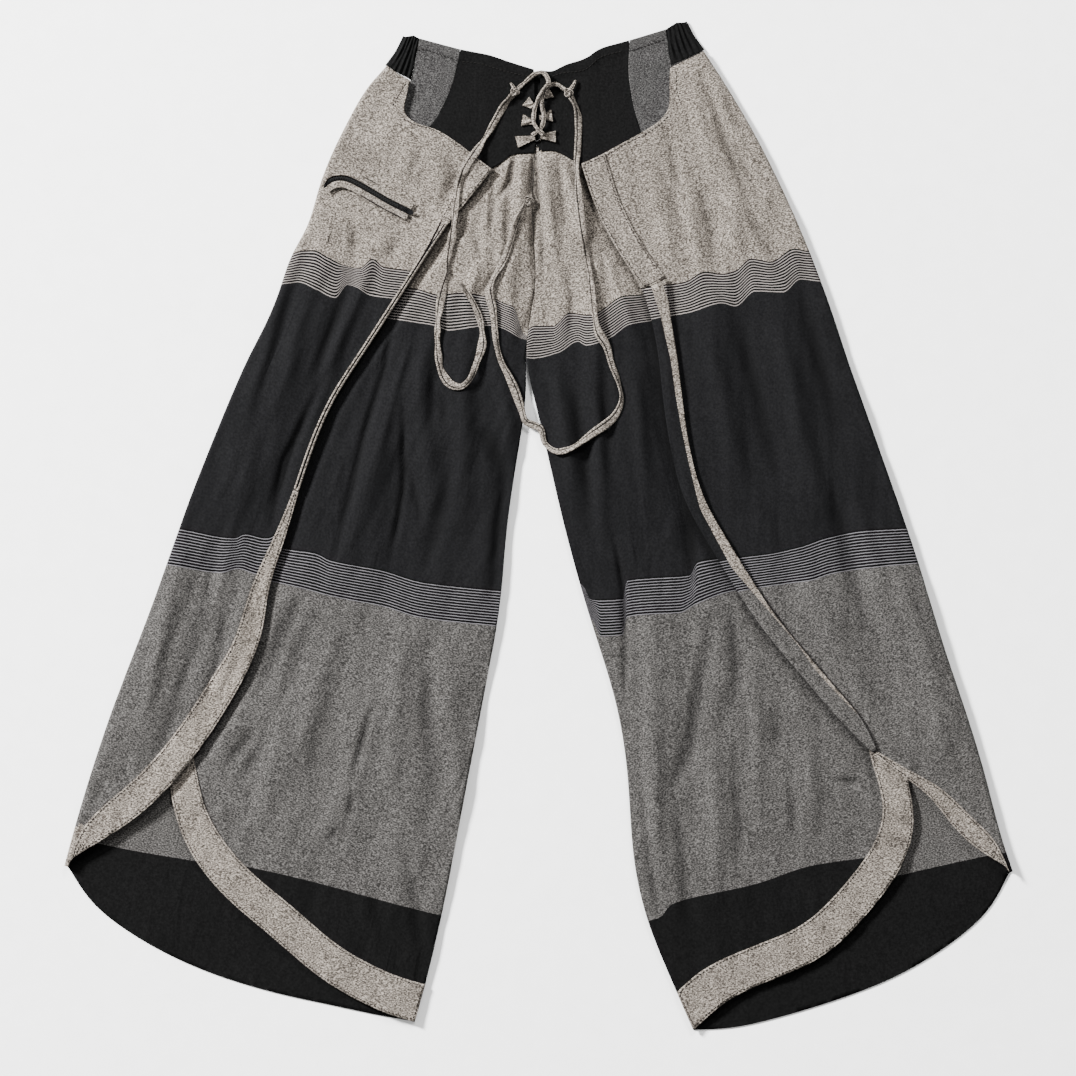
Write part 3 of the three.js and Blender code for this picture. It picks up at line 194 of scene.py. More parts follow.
# Soft folds of the cloth: half width and height in mm, then points along the fold. A trough is below zero.
FOLDS = {
    "trim": [
        # Short creases across the light bands
        (2.6, -0.7, (819, 909), (825, 929), (832, 948)), (3.4, -0.5, (711, 972), (717, 981), (725, 992)),
        (7.0, -1.0, (884, 836), (900, 842), (911, 852)), (5.0, -0.8, (893, 812), (903, 820), (913, 823)),
        (2.6, -0.7, (295, 930), (296, 943), (293, 958)), (4.0, -0.6, (190, 818), (197, 814), (208, 812)),
        (3.0, -0.6, (159, 776), (164, 783), (168, 789)), (2.6, -0.6, (216, 716), (222, 720), (228, 721)),
        (3.0, -0.5, (238, 868), (243, 860), (252, 853)), (2.4, -0.5, (250, 640), (256, 644), (262, 645)),
    ],
    "inner": [
        # Gathers under the lacing
        (3.2, -3.4, (515, 153), (509, 184), (497, 198)), (3.0, -3.2, (535, 152), (533, 175), (530, 198)),
        (3.6, -3.0, (534, 150), (537, 200), (534, 240)), (3.4, -2.6, (493, 186), (490, 237)),
        (3.4, -1.8, (476, 235), (482, 271)), (3.6, -1.6, (531, 210), (536, 290), (530, 320), (520, 337)),
        (6.0, 2.6, (522, 156), (520, 200), (514, 245)), (6.0, 2.4, (546, 152), (549, 200), (553, 252)),
        (5.5, 2.0, (564, 158), (575, 200), (586, 250)), (5.0, 2.0, (503, 190), (501, 240), (498, 285)),
        (4.0, -1.6, (557, 156), (563, 200), (566, 240)), (4.0, -1.4, (541, 190), (543, 250), (540, 300)),
        (7.0, 2.0, (512, 250), (508, 290), (514, 330)), (6.0, 1.6, (486, 250), (470, 290), (466, 330)),
        (4.0, -1.8, (500, 262), (488, 285), (478, 300)), (5.0, -1.4, (596, 230), (606, 270), (612, 300)),
        (6.0, 1.8, (600, 250), (622, 300), (640, 345)), (5.0, -1.5, (465, 215), (452, 262)),
        (4.5, -1.6, (566, 262), (572, 300), (570, 340)), (7.0, 1.8, (584, 270), (594, 320), (600, 380)),
        # Left leg, black
        (4.0, -2.4, (393, 324), (386, 365), (364, 438), (350, 499), (335, 557)),
        (3.4, -2.4, (404, 400), (404, 490), (391, 560)), (3.6, -1.8, (406, 462), (418, 500), (423, 530)),
        (5.0, -1.8, (443, 395), (446, 425)), (9.0, -2.0, (453, 455), (445, 500), (428, 560)),
        (9.0, -2.6, (478, 425), (494, 448), (503, 475)), (5.5, -1.8, (507, 465), (498, 530), (493, 600)),
        (13.0, 3.0, (420, 350), (425, 430), (436, 520)), (12.0, 2.6, (466, 340), (466, 420), (458, 520)),
        (11.0, 2.2, (385, 400), (375, 460), (362, 520)), (8.0, 1.8, (490, 340), (505, 400), (516, 450)),
        (7.0, -1.6, (441, 330), (434, 380), (432, 440)), (5.0, 1.6, (415, 325), (398, 380), (380, 450)),
        # Left leg, gray
        (4.0, -2.4, (372, 708), (360, 750), (353, 775)), (3.4, -1.8, (353, 792), (349, 818)),
        (3.0, -1.4, (339, 829), (328, 840)), (9.0, -2.2, (300, 598), (279, 640), (262, 689)),
        (7.0, -1.8, (252, 733), (228, 765)), (6.0, -1.6, (270, 735), (238, 785)),
        (8.0, -1.6, (318, 608), (298, 650), (285, 700)), (12.0, 2.4, (330, 640), (318, 700), (300, 770)),
        (13.0, 2.2, (400, 620), (396, 700), (392, 800)), (12.0, 2.2, (450, 640), (452, 720), (462, 820)),
        (9.0, -1.6, (425, 640), (428, 720), (436, 800)), (8.0, -1.4, (482, 650), (488, 740), (500, 830)),
        (10.0, 1.8, (288, 700), (272, 760), (262, 820)), (8.0, 1.6, (350, 850), (366, 910), (384, 960)),
        (7.0, -1.4, (405, 850), (416, 910), (424, 960)),
        # Right leg, black
        (7.0, -2.2, (600, 352), (606, 400), (612, 470)), (7.0, -2.0, (573, 380), (584, 450), (592, 540)),
        (10.0, 2.6, (632, 345), (640, 420), (650, 520)), (9.0, 2.2, (588, 356), (598, 430), (604, 520)),
        (8.0, 2.0, (556, 372), (562, 420), (572, 480)), (8.0, -3.0, (676, 470), (690, 520), (694, 580)),
        # Right leg, gray
        (3.0, -2.4, (614, 536), (624, 590), (625, 640), (625, 702)),
        (8.0, -2.0, (731, 596), (737, 674), (724, 722)),
        (8.0, -2.2, (712, 618), (700, 680), (690, 745), (666, 802)),
        (7.0, -1.6, (776, 712), (780, 748)), (3.0, -1.7, (834, 779), (848, 782), (862, 781)),
        (10.0, 2.4, (650, 610), (652, 700), (655, 800), (658, 870)),
        (9.0, 2.0, (752, 640), (758, 740), (760, 830)),
        (9.0, 2.0, (712, 760), (718, 830), (714, 900)), (9.0, 1.8, (806, 745), (818, 820)),
        (7.0, -1.6, (735, 750), (740, 830), (736, 880)), (6.0, -1.4, (790, 780), (796, 850)),
        (7.0, -1.6, (676, 800), (684, 870), (690, 930)), (5.0, -1.8, (855, 735), (868, 752), (877, 790)),
        (4.0, -1.6, (640, 760), (648, 850), (662, 930))],
    "flap": [
        # Left hip and flap
        (5.0, -1.6, (352, 222), (355, 252)), (7.0, -1.4, (341, 218), (338, 250)),
        (6.0, -1.5, (400, 238), (388, 258)), (10.0, 1.8, (370, 110), (392, 140), (420, 165)),
        (9.0, 1.8, (425, 145), (440, 175), (436, 205)), (6.0, -1.4, (446, 150), (455, 180), (440, 212)),
        (8.0, -2.6, (352, 284), (340, 310), (326, 350), (312, 400)),
        (9.0, 2.6, (373, 252), (356, 300), (337, 345), (318, 395), (300, 440)),
        (11.0, 3.0, (318, 252), (306, 300), (288, 370), (272, 430)),
        (9.0, 2.2, (296, 250), (275, 330), (250, 420)),
        (5.5, -2.2, (328, 372), (308, 414), (286, 462), (272, 523)),
        (7.0, -1.8, (290, 300), (268, 370), (246, 440)),
        (11.0, 2.2, (258, 440), (232, 520), (210, 600)), (8.0, -1.8, (232, 500), (212, 580), (196, 660)),
        (9.0, 1.8, (252, 560), (240, 630), (218, 690)), (9.0, 1.8, (180, 560), (160, 650), (140, 740)),
        (8.0, -1.5, (196, 640), (176, 710), (150, 770)), (5.0, -1.4, (225, 600), (222, 650), (206, 700)),
        # Right hip and flap
        (4.5, -2.4, (703, 76), (715, 112), (727, 148), (740, 180), (752, 212)),
        (4.0, -1.8, (722, 112), (736, 146), (749, 180), (762, 214)),
        (6.0, 2.2, (712, 80), (726, 116), (742, 152)),
        (5.0, -1.4, (668, 132), (676, 176), (690, 216)), (8.0, 1.6, (690, 96), (704, 140), (716, 180)),
        (7.0, -2.0, (745, 205), (760, 235), (776, 262)), (7.0, -1.8, (700, 180), (710, 230), (716, 272)),
        (9.0, 2.2, (726, 190), (736, 240), (744, 262)), (8.0, 2.0, (682, 190), (692, 240), (704, 268)),
        (8.0, 1.8, (646, 175), (664, 220), (676, 270)), (6.0, -1.6, (660, 165), (680, 215), (694, 262)),
        (12.0, 2.6, (703, 300), (722, 400), (746, 500)), (11.0, 2.4, (770, 290), (794, 400), (818, 510)),
        (9.0, -2.0, (738, 310), (757, 390), (778, 470)), (9.0, -2.0, (798, 284), (818, 350), (842, 440)),
        (11.0, 2.0, (842, 440), (866, 540), (900, 650)), (9.0, -1.8, (826, 470), (848, 560), (872, 650)),
        (9.0, 2.0, (880, 520), (920, 640), (955, 760)), (9.0, 1.8, (795, 560), (830, 630), (866, 700)),
        (6.0, -1.4, (905, 600), (935, 690), (960, 770)), (5.0, -1.4, (735, 570), (765, 605), (800, 640))],
}

# Low waves: share of the height, waves per metre across and along the leg, and phase
WAVES = [
    (0.42, 15.0, 2.2, 0.4), (0.30, 27.0, -5.5, 2.1), (0.22, 41.0, 8.5, 4.0),
    (0.20, 9.0, 12.0, 1.3), (0.14, 63.0, -14.0, 5.2), (0.10, 24.0, 37.0, 3.1)]

# Light strip on the right flap's turned-back edge: its far side, and its width there in mm
TURNED_STRIP = [
    (640, 249, 7), (654, 277, 6.5), (666, 315, 6.5), (676, 358, 6.5), (680, 393, 5.5), (687, 428, 6.5),
    (697, 460, 10), (711, 504, 13.5), (742, 560, 14.5), (761, 587, 11), (782, 617, 7), (801, 642, 4.8),
    (818, 667, 4.6), (837, 688, 4.6), (860, 711, 4.6), (891, 745, 4.6), (903, 764, 4.6)]

# Routes of the laces and the ties, in mm
ROUTES = {
    "lace_left": [
        (5, 431, 13), (-1, 437, 12.9), (-5, 444, 10.6), (-5, 453, 9.7), (-3, 463, 10), (2, 474, 11.8),
        (7, 482, 13), (11, 488, 13), (9, 495, 11), (4, 499, 9), (-3, 498, 8), (-12, 491, 7.2),
        (-22.5, 481.5, 7.9)],
    "lace_right": [
        (-7, 430, 9.4), (3, 438, 9.4), (6, 450, 9.4), (4, 463, 9.2), (5, 474, 9.4), (9, 482, 9.2),
        (14, 486, 8.4), (21, 486, 7.8), (29.1, 480.4, 7.9)],
    "left_tie": [
        (-29, 474, 7.6), (-34, 468, 6.4), (-41, 458, 6), (-50, 442, 6), (-57, 430, 7), (-68, 413, 8.9),
        (-80, 394, 8.9), (-87, 375, 8), (-91, 350, 7.5), (-93, 330, 6.2), (-98, 300, 4.7),
        (-101, 278, 4.6), (-108, 245, 4.8), (-111, 215, 5.8), (-110, 190, 7.4), (-107, 172, 8.6),
        (-97, 157, 8.8), (-85, 154, 8.6), (-75, 163, 7.3), (-68, 180, 5.7), (-62, 200, 4.8),
        (-63, 222, 4.6), (-70, 243, 4.6), (-78, 256, 4.6), (-86, 266, 4.6)],
    "right_tie": [
        (35.6, 472.7, 7.6), (39.5, 466, 6.4), (43, 456, 6), (44, 440, 6), (43, 415, 6.4), (42, 400, 6.6),
        (43, 380, 6), (45, 355, 6.6), (51, 310, 7.3), (57, 275, 5.8), (61, 240, 5.8), (65, 216, 7.3),
        (75, 198, 8.8), (80, 180, 8.9), (88, 158, 8.5), (91, 139, 8.6), (83, 121, 9.3), (57, 101, 7.8),
        (37, 87, 8.2), (20, 83, 6.8), (7, 92, 5.4), (2, 108, 5), (-14, 116, 4.9), (-19, 130, 5.2),
        (-25, 148, 4.8), (-32, 164, 4.6), (-41, 182, 4.6), (-46, 200, 4.6), (-48, 218, 4.6),
        (-50, 238, 4.6), (-54, 258, 4.6), (-50, 272, 4.7), (-42, 286, 5.2), (-36, 298, 5.6),
        (-30, 315, 6.6), (-24, 335, 7.8), (-18, 348, 8.4), (-13.8, 354.3, 8.4)],
}
KNOTS = {"left_knot": (-26, 478, 8), "right_knot": (33, 477, 8), "right_tie_end_knot": (-11, 358, 8.6)}
TAILS = {
    "left_knot": [(-26, 479, 8.4), (-28, 484, 8), (-31, 488, 7.2)],
    "right_knot": [(34, 479, 8.4), (38, 485, 8), (41, 491, 7)],
    "right_tie_end_knot": [(-11, 357, 8.4), (-11, 352, 7.4), (-12, 346, 6.2)],
}

# Seams that are topstitched on the flat cloth: what they lie on, then points along them
SEAMS = {
    "left_outer_panel": [
        [(406, 84), (400, 94), (392, 108)],
        [(400, 117), (417, 126), (430, 129), (447, 139), (465, 151), (478, 161)]],
    "right_outer_panel": [
        [(676, 72), (677, 93), (682, 108)],
        [(668, 117), (656, 128), (641, 137), (628, 143), (606, 156)]],
    "left_yoke_gray": [[(417, 51), (424, 50), (440, 55), (455, 60)]],
    "left_yoke_centre": [[(462, 62), (480, 64), (506, 72), (530, 77)]],
    "right_yoke_centre": [[(545, 80), (560, 74), (585, 70), (600, 58), (624, 51)]],
    "right_yoke_gray": [[(632, 51), (650, 45), (667, 39)]],
}

# Middle line of the zip, in mm
ZIP = [
    (-237, 374.5), (-231, 380), (-223, 383.2), (-212, 383.2), (-198, 377), (-182, 368), (-165, 358),
    (-152, 351.5), (-141, 346)]
SLIDER = (-148, 349.5)
SLIDER_REACH = 7 * MM                 # the slider hides the teeth this far round its middle
# Where each welt's outer seam gapes and is darkened with painted shade, from x to x in mm
WELT_GAP_SHADE = {"zip_welt_upper": (-197, -172), "zip_welt_lower": (-200, -146)}
# Side of the hip, y and x in mm: the zip ends there
HIP_SIDE = [(365, -238.5), (371, -237.5), (378, -234.5), (383, -231.5), (392, -228)]

# Cloth pieces: slot, flat width and length of the cut in metres, share of it that is cloth, how it is held,
# and what it rests on
CLOTH = {
    "left_outer_panel": ("striped_cotton", 0.62, 1.08, 0.66, "laid", ["left_inner_front"]),
    "right_outer_panel": ("striped_cotton", 0.68, 1.10, 0.68, "laid", ["right_inner_front"]),
    "left_inner_front": ("striped_cotton", 0.40, 1.00, 0.58, "laid", ["left_outer_panel"]),
    "right_inner_front": ("striped_cotton", 0.38, 1.00, 0.53, "laid", ["right_outer_panel"]),
    "left_flap_trim_upper": ("light_gray_cotton", 0.030, 0.088, 0.65, "laid", ["left_outer_panel"]),
    "left_flap_rolled_edge": ("light_gray_cotton", 0.012, 0.36, 0.68, "folded", ["left_outer_panel"]),
    "left_flap_trim_lower": ("light_gray_cotton", 0.034, 0.49, 0.75, "laid", ["left_outer_panel"]),
    "left_inner_front_trim": ("light_gray_cotton", 0.043, 0.44, 0.85, "laid", ["left_inner_front"]),
    "right_flap_trim_upper": ("light_gray_cotton", 0.034, 0.165, 0.8, "laid", ["right_outer_panel"]),
    "right_flap_turned_edge": ("light_gray_cotton", 0.025, 0.60, 0.9, "folded", ["right_outer_panel"]),
    "right_flap_trim_lower": ("light_gray_cotton", 0.03, 0.20, 0.52, "laid", ["right_outer_panel"]),
    "right_inner_front_trim": ("light_gray_cotton", 0.043, 0.46, 0.86, "laid", ["right_inner_front"]),
    "left_yoke_gray": ("mid_gray_cotton", 0.05, 0.10, 0.86, "laid", ["back_yoke"]),
    "left_yoke_centre": ("black_cotton", 0.12, 0.12, 0.76, "laid", ["back_yoke"]),
    "right_yoke_centre": ("black_cotton", 0.12, 0.12, 0.78, "laid", ["back_yoke"]),
    "right_yoke_gray": ("mid_gray_cotton", 0.05, 0.12, 0.82, "laid", ["back_yoke"]),
    "left_elastic": ("black_cotton", 0.06, 0.05, 0.77, "gathered", ["left_outer_panel"]),
    "right_elastic": ("black_cotton", 0.065, 0.05, 0.83, "gathered", ["right_outer_panel"]),
    "back_yoke": ("black_cotton", 0.28, 0.10, 0.6, "laid", ["left_outer_panel"]),
    "zip_tape": ("black_cotton", 0.010, 0.11, 0.64, "laid", ["left_outer_panel"]),
    "zip_welt_upper": ("light_gray_cotton", 0.01, 0.12, 0.75, "folded", ["left_outer_panel"]),
    "zip_welt_lower": ("light_gray_cotton", 0.01, 0.11, 0.73, "folded", ["left_outer_panel"]),
}
TRIMS = [name for name in CLOTH if name.endswith("_trim") or "_flap_trim" in name]

# Lights: place and size in metres, and power in watts
LIGHTS = {
    "key_light": ((-4.9, 3.5, 3.5), 1.2, 3150.0),
    "top_light": ((1.4, 5.2, 4.6), 1.6, 460.0),
    "fill_light": ((3.0, -3.0, 5.0), 3.0, 70.0),
}


# ---- Lines and surfaces ----

def spots(rows):
    """Points read on the picture, in metres on the surface."""
    places = np.array([row[:2] for row in rows], float)
    return np.column_stack(((places[:, 0] - MIDDLE[0]) * PIXEL, (MIDDLE[1] - places[:, 1]) * PIXEL))


def ease(value, low, high):
    """From 0 below low to 1 above high, turning smoothly between them."""
    share = np.clip((value - low) / (high - low), 0, 1)
    return share * share * (3 - 2 * share)


def lean(side):
    return LEG_LEAN if side == "left" else -LEG_LEAN


def along(line):
    """Length from a line's start to each of its points."""
    return np.concatenate(([0.0], np.cumsum(np.linalg.norm(np.diff(line, axis=0), axis=1))))


def bend(t, start, end, leave, arrive):
    """Between start and end, a smooth curve with the given slopes."""
    return (
        start * (2 * t ** 3 - 3 * t ** 2 + 1) + end * (3 * t ** 2 - 2 * t ** 3)
        + leave * (t ** 3 - 2 * t ** 2 + t) + arrive * (t ** 3 - t ** 2))


def off_line(x, y, line):
    """Distance from points to a line of straight stretches, and the share along it of the nearest place."""
    best, share = np.full(x.shape, np.inf), np.zeros(x.shape)
    longs = np.hypot(*np.diff(line, axis=0).T)
    done, total = 0.0, longs.sum()
    for (ax, ay), (bx, by), long in zip(line[:-1], line[1:], longs):
        part = np.clip(((x - ax) * (bx - ax) + (y - ay) * (by - ay)) / long ** 2, 0, 1)
        off = np.hypot(x - ax - (bx - ax) * part, y - ay - (by - ay) * part)
        share = np.where(off < best, (done + part * long) / total, share)
        best = np.minimum(best, off)
        done += long
    return best, share


def level(rows, x):
    """Height at x of the smooth line through points read on the picture, level at its turning points."""
    xs, ys = spots(rows).T
    steps = np.diff(ys) / np.diff(xs)
    both = steps[:-1] * steps[1:]
    inner = np.where(both > 0, 2 * both / np.where(both > 0, steps[:-1] + steps[1:], 1), 0)
    slopes = np.concatenate((steps[:1], inner, steps[-1:]))
    k = np.clip(np.searchsorted(xs, x) - 1, 0, len(xs) - 2)
    wide = xs[k + 1] - xs[k]
    t = np.clip((x - xs[k]) / wide, 0, 1)
    return bend(t, ys[k], ys[k + 1], wide * slopes[k], wide * slopes[k + 1])


def inside_edge(side, x, y):
    """How far a point lies from a flap's free edge: above 0 on the bare inner front, below 0 on the flap."""
    line = spots(FREE_EDGE[side])
    off, _ = off_line(x, y, line)
    edge_x = np.interp(-y, -line[:, 1], line[:, 0])
    return np.where((x - edge_x) * (1 if side == "left" else -1) > 0, off, -off)


def waves(x, y, turn):
    """Low uneven waves, longer along the leg than across it."""
    across, down = x * math.cos(turn) - y * math.sin(turn), x * math.sin(turn) + y * math.cos(turn)
    whole = 2 * math.pi
    return sum(
        share * np.sin(whole * (a * across + b * down) + phase + 0.9 * np.sin(whole * 5 * down + phase))
        for share, a, b, phase in WAVES)


def folds(name, x, y):
    """Height of the soft folds, which fade at both ends."""
    high = np.zeros(x.shape)
    for wide, rise, *points in FOLDS[name]:
        off, share = off_line(x, y, spots(points))
        ends = np.sin(np.pi * np.clip(share, 0.04, 0.96)) ** 0.6
        high += rise * MM * ends * np.exp(-(off / (wide * MM)) ** 2)
    return high


def relief(kind, side, x, y):
    """How far the folds lift a cloth above its solid, never below it. The lift fades to nothing on the
    inner front beside the flap and at the yoke, and on the flap round the zip."""
    sizes = bpy.context.scene.pants_sizes
    high = sizes.loft + sizes.fold_height * folds(kind, x, y) + sizes.rumple * waves(x, y, lean(side))
    bare = inside_edge(side, x, y)
    if kind == "inner":
        yoke = np.where(np.abs(x) < 0.11, np.interp(x, *spots(YOKE_LOW).T) - y, 1.0)
        fade = ease(bare, 3 * MM, 16 * MM) * ease(yoke, 0, 7 * MM)
    else:
        zip_off, _ = off_line(x, y, np.array(ZIP) * MM)
        fade = ease(zip_off, 14 * MM, 45 * MM)
        edge = np.exp(-(np.abs(bare) / (14 * MM)) ** 2) * ease(zip_off, 20 * MM, 50 * MM)
        high = high + sizes.edge_lift * edge
    return np.maximum(high, 0) * fade


def smooth_line(points, step, closed=False):
    """Points about a step apart on a smooth line through the given ones."""
    knots = [np.array(p, float) for p in points]
    if closed:
        knots = [knots[-1], *knots, knots[0], knots[1]]
    else:
        knots = [2 * knots[0] - knots[1], *knots, 2 * knots[-1] - knots[-2]]
    made = []
    for a, b, c, d in zip(knots, knots[1:], knots[2:], knots[3:]):
        ab, bc, cd = (math.sqrt(np.linalg.norm(q - p)) for p, q in ((a, b), (b, c), (c, d)))
        into = (b - a) / ab - (c - a) / (ab + bc) + (c - b) / bc
        away = (c - b) / bc - (d - b) / (bc + cd) + (d - c) / cd
        count = max(2, math.ceil(np.linalg.norm(c - b) / step))
        made += [bend(t, b, c, bc * into, bc * away) for t in np.arange(count) / count]
    return np.array(made if closed else [*made, knots[-2]])


def tree(piece):
    """Search tree of a piece's surface, to lay other pieces on it."""
    mesh = piece.data
    return BVHTree.FromPolygons([v.co for v in mesh.vertices], [p.vertices for p in mesh.polygons])


def top_at(trees, x, y):
    """Highest surface at a place, looked for from well above it."""
    hits = [t.ray_cast(Vector((x, y, 100 * MM)), Vector((0, 0, -1)))[0] for t in trees]
    return max([hit.z for hit in hits if hit], default=0.0)


# ---- Making pieces ----

def link(name, data):
    piece = bpy.data.objects.new(name, data)
    bpy.context.scene.collection.objects.link(piece)
    return piece


def points_of(piece):
    places = np.empty(3 * len(piece.data.vertices))
    piece.data.vertices.foreach_get("co", places)
    return places.reshape(-1, 3)


def set_points(piece, places):
    piece.data.vertices.foreach_set("co", places.ravel())
    piece.data.update()


def attribute(piece, name, values):
    """A vector or a number for each point, for the materials."""
    kind, field = ("FLOAT_VECTOR", "vector") if values.ndim == 2 else ("FLOAT", "value")
    piece.data.attributes.new(name, kind, "POINT").data.foreach_set(field, values.ravel())


def pick(piece):
    """Makes a piece the only selected one, for an operator."""
    bpy.ops.object.select_all(action="DESELECT")
    bpy.context.view_layer.objects.active = piece
    piece.select_set(True)


def shade_smooth(piece, angle):
    pick(piece)
    bpy.ops.object.shade_smooth_by_angle(angle=angle)
    piece.select_set(False)


def cloth_copy(name, levels=LEVELS):
    """A finer copy of a cloth's solid: the rim of its wall stays sharp, and the rest turns smooth."""
    piece = link(name + "_cloth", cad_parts[name].data.copy())
    mesh = bmesh.new()
    mesh.from_mesh(piece.data)
    bmesh.ops.remove_doubles(mesh, verts=mesh.verts, dist=0.01 * MM)
    bmesh.ops.join_triangles(
        mesh, faces=mesh.faces, angle_face_threshold=SAME_FACE, angle_shape_threshold=math.pi)
    crease = mesh.edges.layers.float.get("crease_edge") or mesh.edges.layers.float.new("crease_edge")
    for edge in mesh.edges:
        edge[crease] = float(edge.calc_face_angle(0) > SHARP)
    mesh.to_mesh(piece.data)
    mesh.free()
    finer = piece.modifiers.new("Finer cloth", "SUBSURF")
    finer.levels = finer.render_levels = levels
    pick(piece)
    bpy.ops.object.modifier_apply(modifier=finer.name)
    piece.select_set(False)
    return piece


def dress(piece, finish):
    piece.data.materials.clear()
    piece.data.materials.append(finish)


def carry(piece, finish, angle=ROUND):
    """Finishes a piece that the pants carry."""
    dress(piece, finish)
    shade_smooth(piece, angle)
    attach(piece, "root")


def declare(piece, name, finish):
    """Cloth that stands for its solid: it is finished, and the solid is hidden."""
    carry(piece, finish, SOFT)
    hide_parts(name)


def ribbon(name, line, width, thick, roll, closed=False, sides=20):
    """A flat cord with rounded sides along a line, with a groove where its edge is tucked in, darkened with
    painted shade.
    Width, thickness and roll are functions of the share along it."""
    count = len(line)
    rings, groove = [], []
    for k, place in enumerate(line):
        share = k / (count - 1)
        before, after = (k - 1, (k + 1) % count) if closed else (max(k - 1, 0), min(k + 1, count - 1))
        ahead = Vector(line[after] - line[before]).normalized()
        across = ahead.cross(Vector((0, 0, 1)))
        across = across.normalized() if across.length > 1e-4 else Vector((1, 0, 0))
        up = across.cross(ahead)
        c, s = math.cos(roll(share)), math.sin(roll(share))
        across, up = across * c + up * s, up * c - across * s
        ring = []
        for j in range(sides):
            angle = 2 * math.pi * j / sides
            c, s = math.cos(angle), math.sin(angle)
            flat = math.copysign(abs(c) ** 0.75, c) * width(share) / 2
            dip = math.exp(-((c - 0.34) / 0.13) ** 2) if s > 0 else 0.0
            high = math.copysign(abs(s) ** 0.8, s) * thick(share) / 2 * (1 - 0.6 * dip)
            ring.append(Vector(place) + across * flat + up * high)
            # Where this is above 0, the groove gets painted shade
            groove.append(dip - 0.55)
        rings.append(ring)
    points = [p for ring in rings for p in ring]
    faces = []
    last = count if closed else count - 1
    for k in range(last):
        a, b = k * sides, ((k + 1) % count) * sides
        faces += [(a + j, a + (j + 1) % sides, b + (j + 1) % sides, b + j) for j in range(sides)]
    if not closed:
        faces += [tuple(range(sides))[::-1], tuple((count - 1) * sides + j for j in range(sides))]
    mesh = bpy.data.meshes.new(name)
    mesh.from_pydata(points, [], faces)
    work = bmesh.new()
    work.from_mesh(mesh)
    bmesh.ops.recalc_face_normals(work, faces=work.faces)
    work.to_mesh(mesh)
    work.free()
    piece = link(name, mesh)
    attribute(piece, "strip", np.array(groove))
    return piece


def many(name, places, shape):
    """One mesh of many small like shapes. Each place is a middle and the way that the shape's x points."""
    points, faces = [], []
    corners, sides = shape
    for middle, way in places:
        x = Vector(way).normalized()
        y = Vector((0, 0, 1)).cross(x).normalized()
        z = x.cross(y)
        start = len(points)
        points += [Vector(middle) + x * c[0] + y * c[1] + z * c[2] for c in corners]
        faces += [tuple(start + k for k in side) for side in sides]
    mesh = bpy.data.meshes.new(name)
    mesh.from_pydata(points, [], faces)
    return link(name, mesh)


def pill(long, thick, sides=6):
    """A short round bar with blunt ends, as a stitch or a tooth: corners and faces."""
    corners, faces = [], []
    for x, r in ((-long / 2, 0.45), (-long * 0.32, 1.0), (long * 0.32, 1.0), (long / 2, 0.45)):
        for j in range(sides):
            angle = 2 * math.pi * j / sides
            corners.append((x, r * thick / 2 * math.cos(angle), r * thick / 2 * math.sin(angle)))
    for a in range(0, 3 * sides, sides):
        b = a + sides
        faces += [(a + j, a + (j + 1) % sides, b + (j + 1) % sides, b + j) for j in range(sides)]
    faces += [tuple(range(sides))[::-1], tuple(3 * sides + j for j in range(sides))]
    return corners, faces


# ---- Materials ----

def node(nodes, kind, inputs=None, **settings):
    """Adds a shader node with its settings, and sets or links its inputs by name or number."""
    made = nodes.new("ShaderNode" + kind)
    for name, value in settings.items():
        setattr(made, name, value)
    for name, value in (inputs or {}).items():
        if isinstance(value, bpy.types.NodeSocket):
            nodes.id_data.links.new(value, made.inputs[name])
        else:
            made.inputs[name].default_value = value
    return made


def rgba(value):
    return (*value, 1.0)


def noise(nodes, place, scale, detail=1.0, **more):
    return node(nodes, "TexNoise", {"Vector": place, "Scale": scale, "Detail": detail, **more}).outputs[0]


def maths(nodes, operation, *values):
    return node(nodes, "Math", dict(enumerate(values)), operation=operation).outputs[0]


def ranged(nodes, value, low, high):
    """From 0 at low to 1 at high."""
    return node(nodes, "MapRange", {"Value": value, "From Min": low, "From Max": high}).outputs[0]


def kept(nodes, name, output="Fac"):
    """An attribute of the cloth's own points."""
    return node(nodes, "Attribute", attribute_name=name).outputs[output]


def blend_of(nodes, factor, first, second):
    return node(nodes, "Mix", {0: factor, 6: first, 7: second}, data_type="RGBA").outputs[2]


def heather(nodes, place, dark, light, fleck):
    """Yarn spun from light and dark fibres: fine flecks, drawn about twice their real size so that they show,
    with soft lighter and darker patches between them."""
    # Flecks are longer across the leg, patches are 14 flecks wide, and light flecks are the rarer ones
    stretched = node(nodes, "Mapping", {"Vector": place, "Scale": (0.62, 1.0, 1.0)}).outputs[0]
    fine = noise(nodes, stretched, 1 / fleck, 2.0, Roughness=0.6)
    patch = noise(nodes, place, 1 / (14 * fleck))
    share = ranged(nodes, maths(nodes, "MULTIPLY_ADD", patch, 0.05, fine), 0.37, 0.69)
    return blend_of(nodes, maths(nodes, "POWER", share, 1.6), rgba(dark), rgba(light))


def weave_bump(nodes, place, below):
    """Threads over and under each other, drawn as coarse as they need to show."""
    threads = [
        node(nodes, "TexWave", {"Vector": place, "Scale": 0.5 / WEAVE, "Distortion": 1.5, "Detail": 1.0},
             wave_type="BANDS", bands_direction=way).outputs[1] for way in ("X", "Y")]
    fuzz = noise(nodes, place, 900.0, 3.0)
    rough = maths(nodes, "MULTIPLY_ADD", fuzz, 0.8, maths(nodes, "MULTIPLY", *threads))
    return node(nodes, "Bump", {
        "Height": rough, "Strength": 0.5, "Distance": 0.35 * MM, "Normal": below}).outputs[0]


